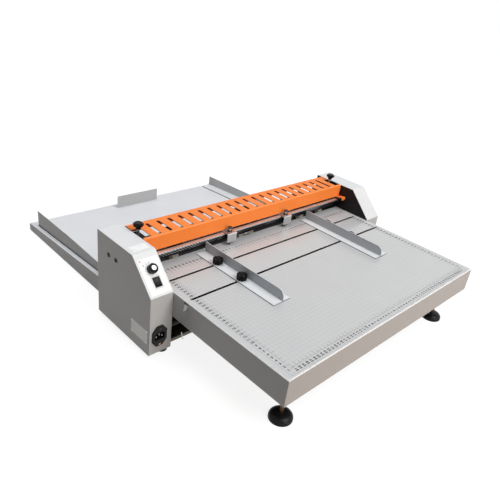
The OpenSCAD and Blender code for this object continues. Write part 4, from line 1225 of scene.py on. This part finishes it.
@dataclass
class MotorDrive(SubAssembly):
    """The motor, its belt and the board that runs it, inside the left housing."""

    wear: Wear = (
        (BLACK_COAT, "drive_motor"), (ZINC, "motor_bracket"), (ROUND_STEEL, "motor_pulley shaft_pulley"),
        (BELT, "drive_belt"), (BOARD, "control_board"),
    )


@dataclass(frozen=True)
class Lamp:
    """A square lamp that looks at the machine: its place and side in metres and its power in watts."""

    name: str
    place: Place
    side: float
    power: float
    tint: Colour = (1.0, 1.0, 1.0)
    aim: Place = (0.0, -0.05, 0.12)

    def build(self) -> None:
        """Hangs the lamp."""
        data = bpy.data.lights.new(self.name, "AREA")
        data.color = self.tint
        data.size = self.side
        data.energy = self.power
        lamp = stand(self.name, data)
        lamp.location = self.place
        lamp.rotation_euler = (Vector(self.aim) - Vector(self.place)).to_track_quat("-Z", "Y").to_euler()


@dataclass
class Studio:
    """The white floor, the soft lamps and the camera."""

    azimuth: float = 47.27
    elevation: float = 27.92
    roll: float = 7.77
    place: Place = (-0.8961, -0.8802, 0.7370)
    lens: float = 37.48
    sensor: float = 36.0
    clip: float = 60.0
    lamps: tuple[Lamp, ...] = (
        Lamp("key", (0.4, -2.4, 2.9), 2.2, 82.0),
        Lamp("fill", (-0.4, 1.0, 3.4), 2.4, 52.0),
        Lamp("front", (0.0, -3.2, 0.9), 1.4, 26.0, (1.0, 0.87, 0.77)),
    )
    floor_colour: Colour = (0.19, 0.165, 0.145)
    floor_white: Colour = (0.24, 0.24, 0.24)
    floor_glow: tuple[float, float, float, float] = (0.6, 1.6, 0.86, 1.0)
    floor_size: float = 14.0
    floor_drop: float = 0.0002
    world_level: float = 0.12

    def build(self) -> None:
        """Sets up the studio."""
        self.build_floor()
        self.build_world()
        for lamp in self.lamps:
            lamp.build()
        self.build_camera()

    def build_floor(self) -> None:
        """Lays the floor, white to the camera and pale grey to the light."""
        graph = Graph("studio_floor")
        graph.put("Base Color", self.floor_colour)
        graph.put("Roughness", 1.0)
        white = graph.node("BsdfDiffuse", {"Color": self.floor_white}).outputs[0]
        reach = graph.node("VectorMath", {0: graph.place}, operation="LENGTH").outputs["Value"]
        level = graph.spread(reach, *self.floor_glow)
        glow = graph.node("Emission", {"Color": (1.0, 1.0, 1.0), "Strength": level}).outputs[0]
        lit = graph.node("AddShader", {0: white, 1: glow}).outputs[0]
        mixed = graph.node("MixShader", {0: graph.seen(), 1: graph.shader.outputs[0], 2: lit})
        graph.feed(graph.tree.nodes["Material Output"].inputs["Surface"], mixed.outputs[0])
        mesh = bmesh.new()
        bmesh.ops.create_grid(mesh, x_segments=8, y_segments=8, size=self.floor_size)
        data = bpy.data.meshes.new("studio_floor")
        mesh.to_mesh(data)
        mesh.free()
        data.materials.append(graph.material)
        floor = stand("studio_floor", data)
        floor.location = (0.0, 0.0, -self.floor_drop)

    def build_world(self) -> None:
        """Makes the world white to the camera and a soft grey to the machine."""
        world = bpy.data.worlds.new("studio_world")
        world.use_nodes = True
        bpy.context.scene.world = world
        nodes = Nodes(world.node_tree)
        background = nodes.tree.nodes["Background"].inputs
        nodes.feed(background["Color"], (1.0, 1.0, 1.0))
        nodes.feed(background["Strength"], nodes.spread(nodes.seen(), 0.0, 1.0, self.world_level))

    def build_camera(self) -> None:
        """Sets the camera at the photograph's place, direction and roll."""
        azimuth, elevation, roll = (math.radians(angle) for angle in (self.azimuth, self.elevation, self.roll))
        turn = Matrix.Rotation(-azimuth, 4, "Z") @ Matrix.Rotation(math.pi / 2.0 - elevation, 4, "X")
        data = bpy.data.cameras.new("camera")
        data.sensor_width = self.sensor
        data.lens = self.lens
        data.clip_end = self.clip
        camera = stand("camera", data)
        camera.matrix_world = Matrix.Translation(self.place) @ turn @ Matrix.Rotation(roll, 4, "Z")
        bpy.context.scene.camera = camera


def main() -> None:
    """Builds the machine's sub-assemblies in order, then the studio."""
    logging.basicConfig(level=logging.INFO, format="%(message)s")
    parts: Sequence[SubAssembly] = (
        Housings(), FeedTable(), SideGuides(), HoldDowns(), RollerSection(), SlottedCover(),
        PressureKnobs(), ControlPanel(), PowerInlet(), CatchTray(), MotorDrive(),
    )
    for part in parts:
        part.dress()
        part.build()
        part.report()
    Studio().build()
    bpy.context.scene.view_settings.view_transform = "Standard"


if __name__ == "__main__":
    main()
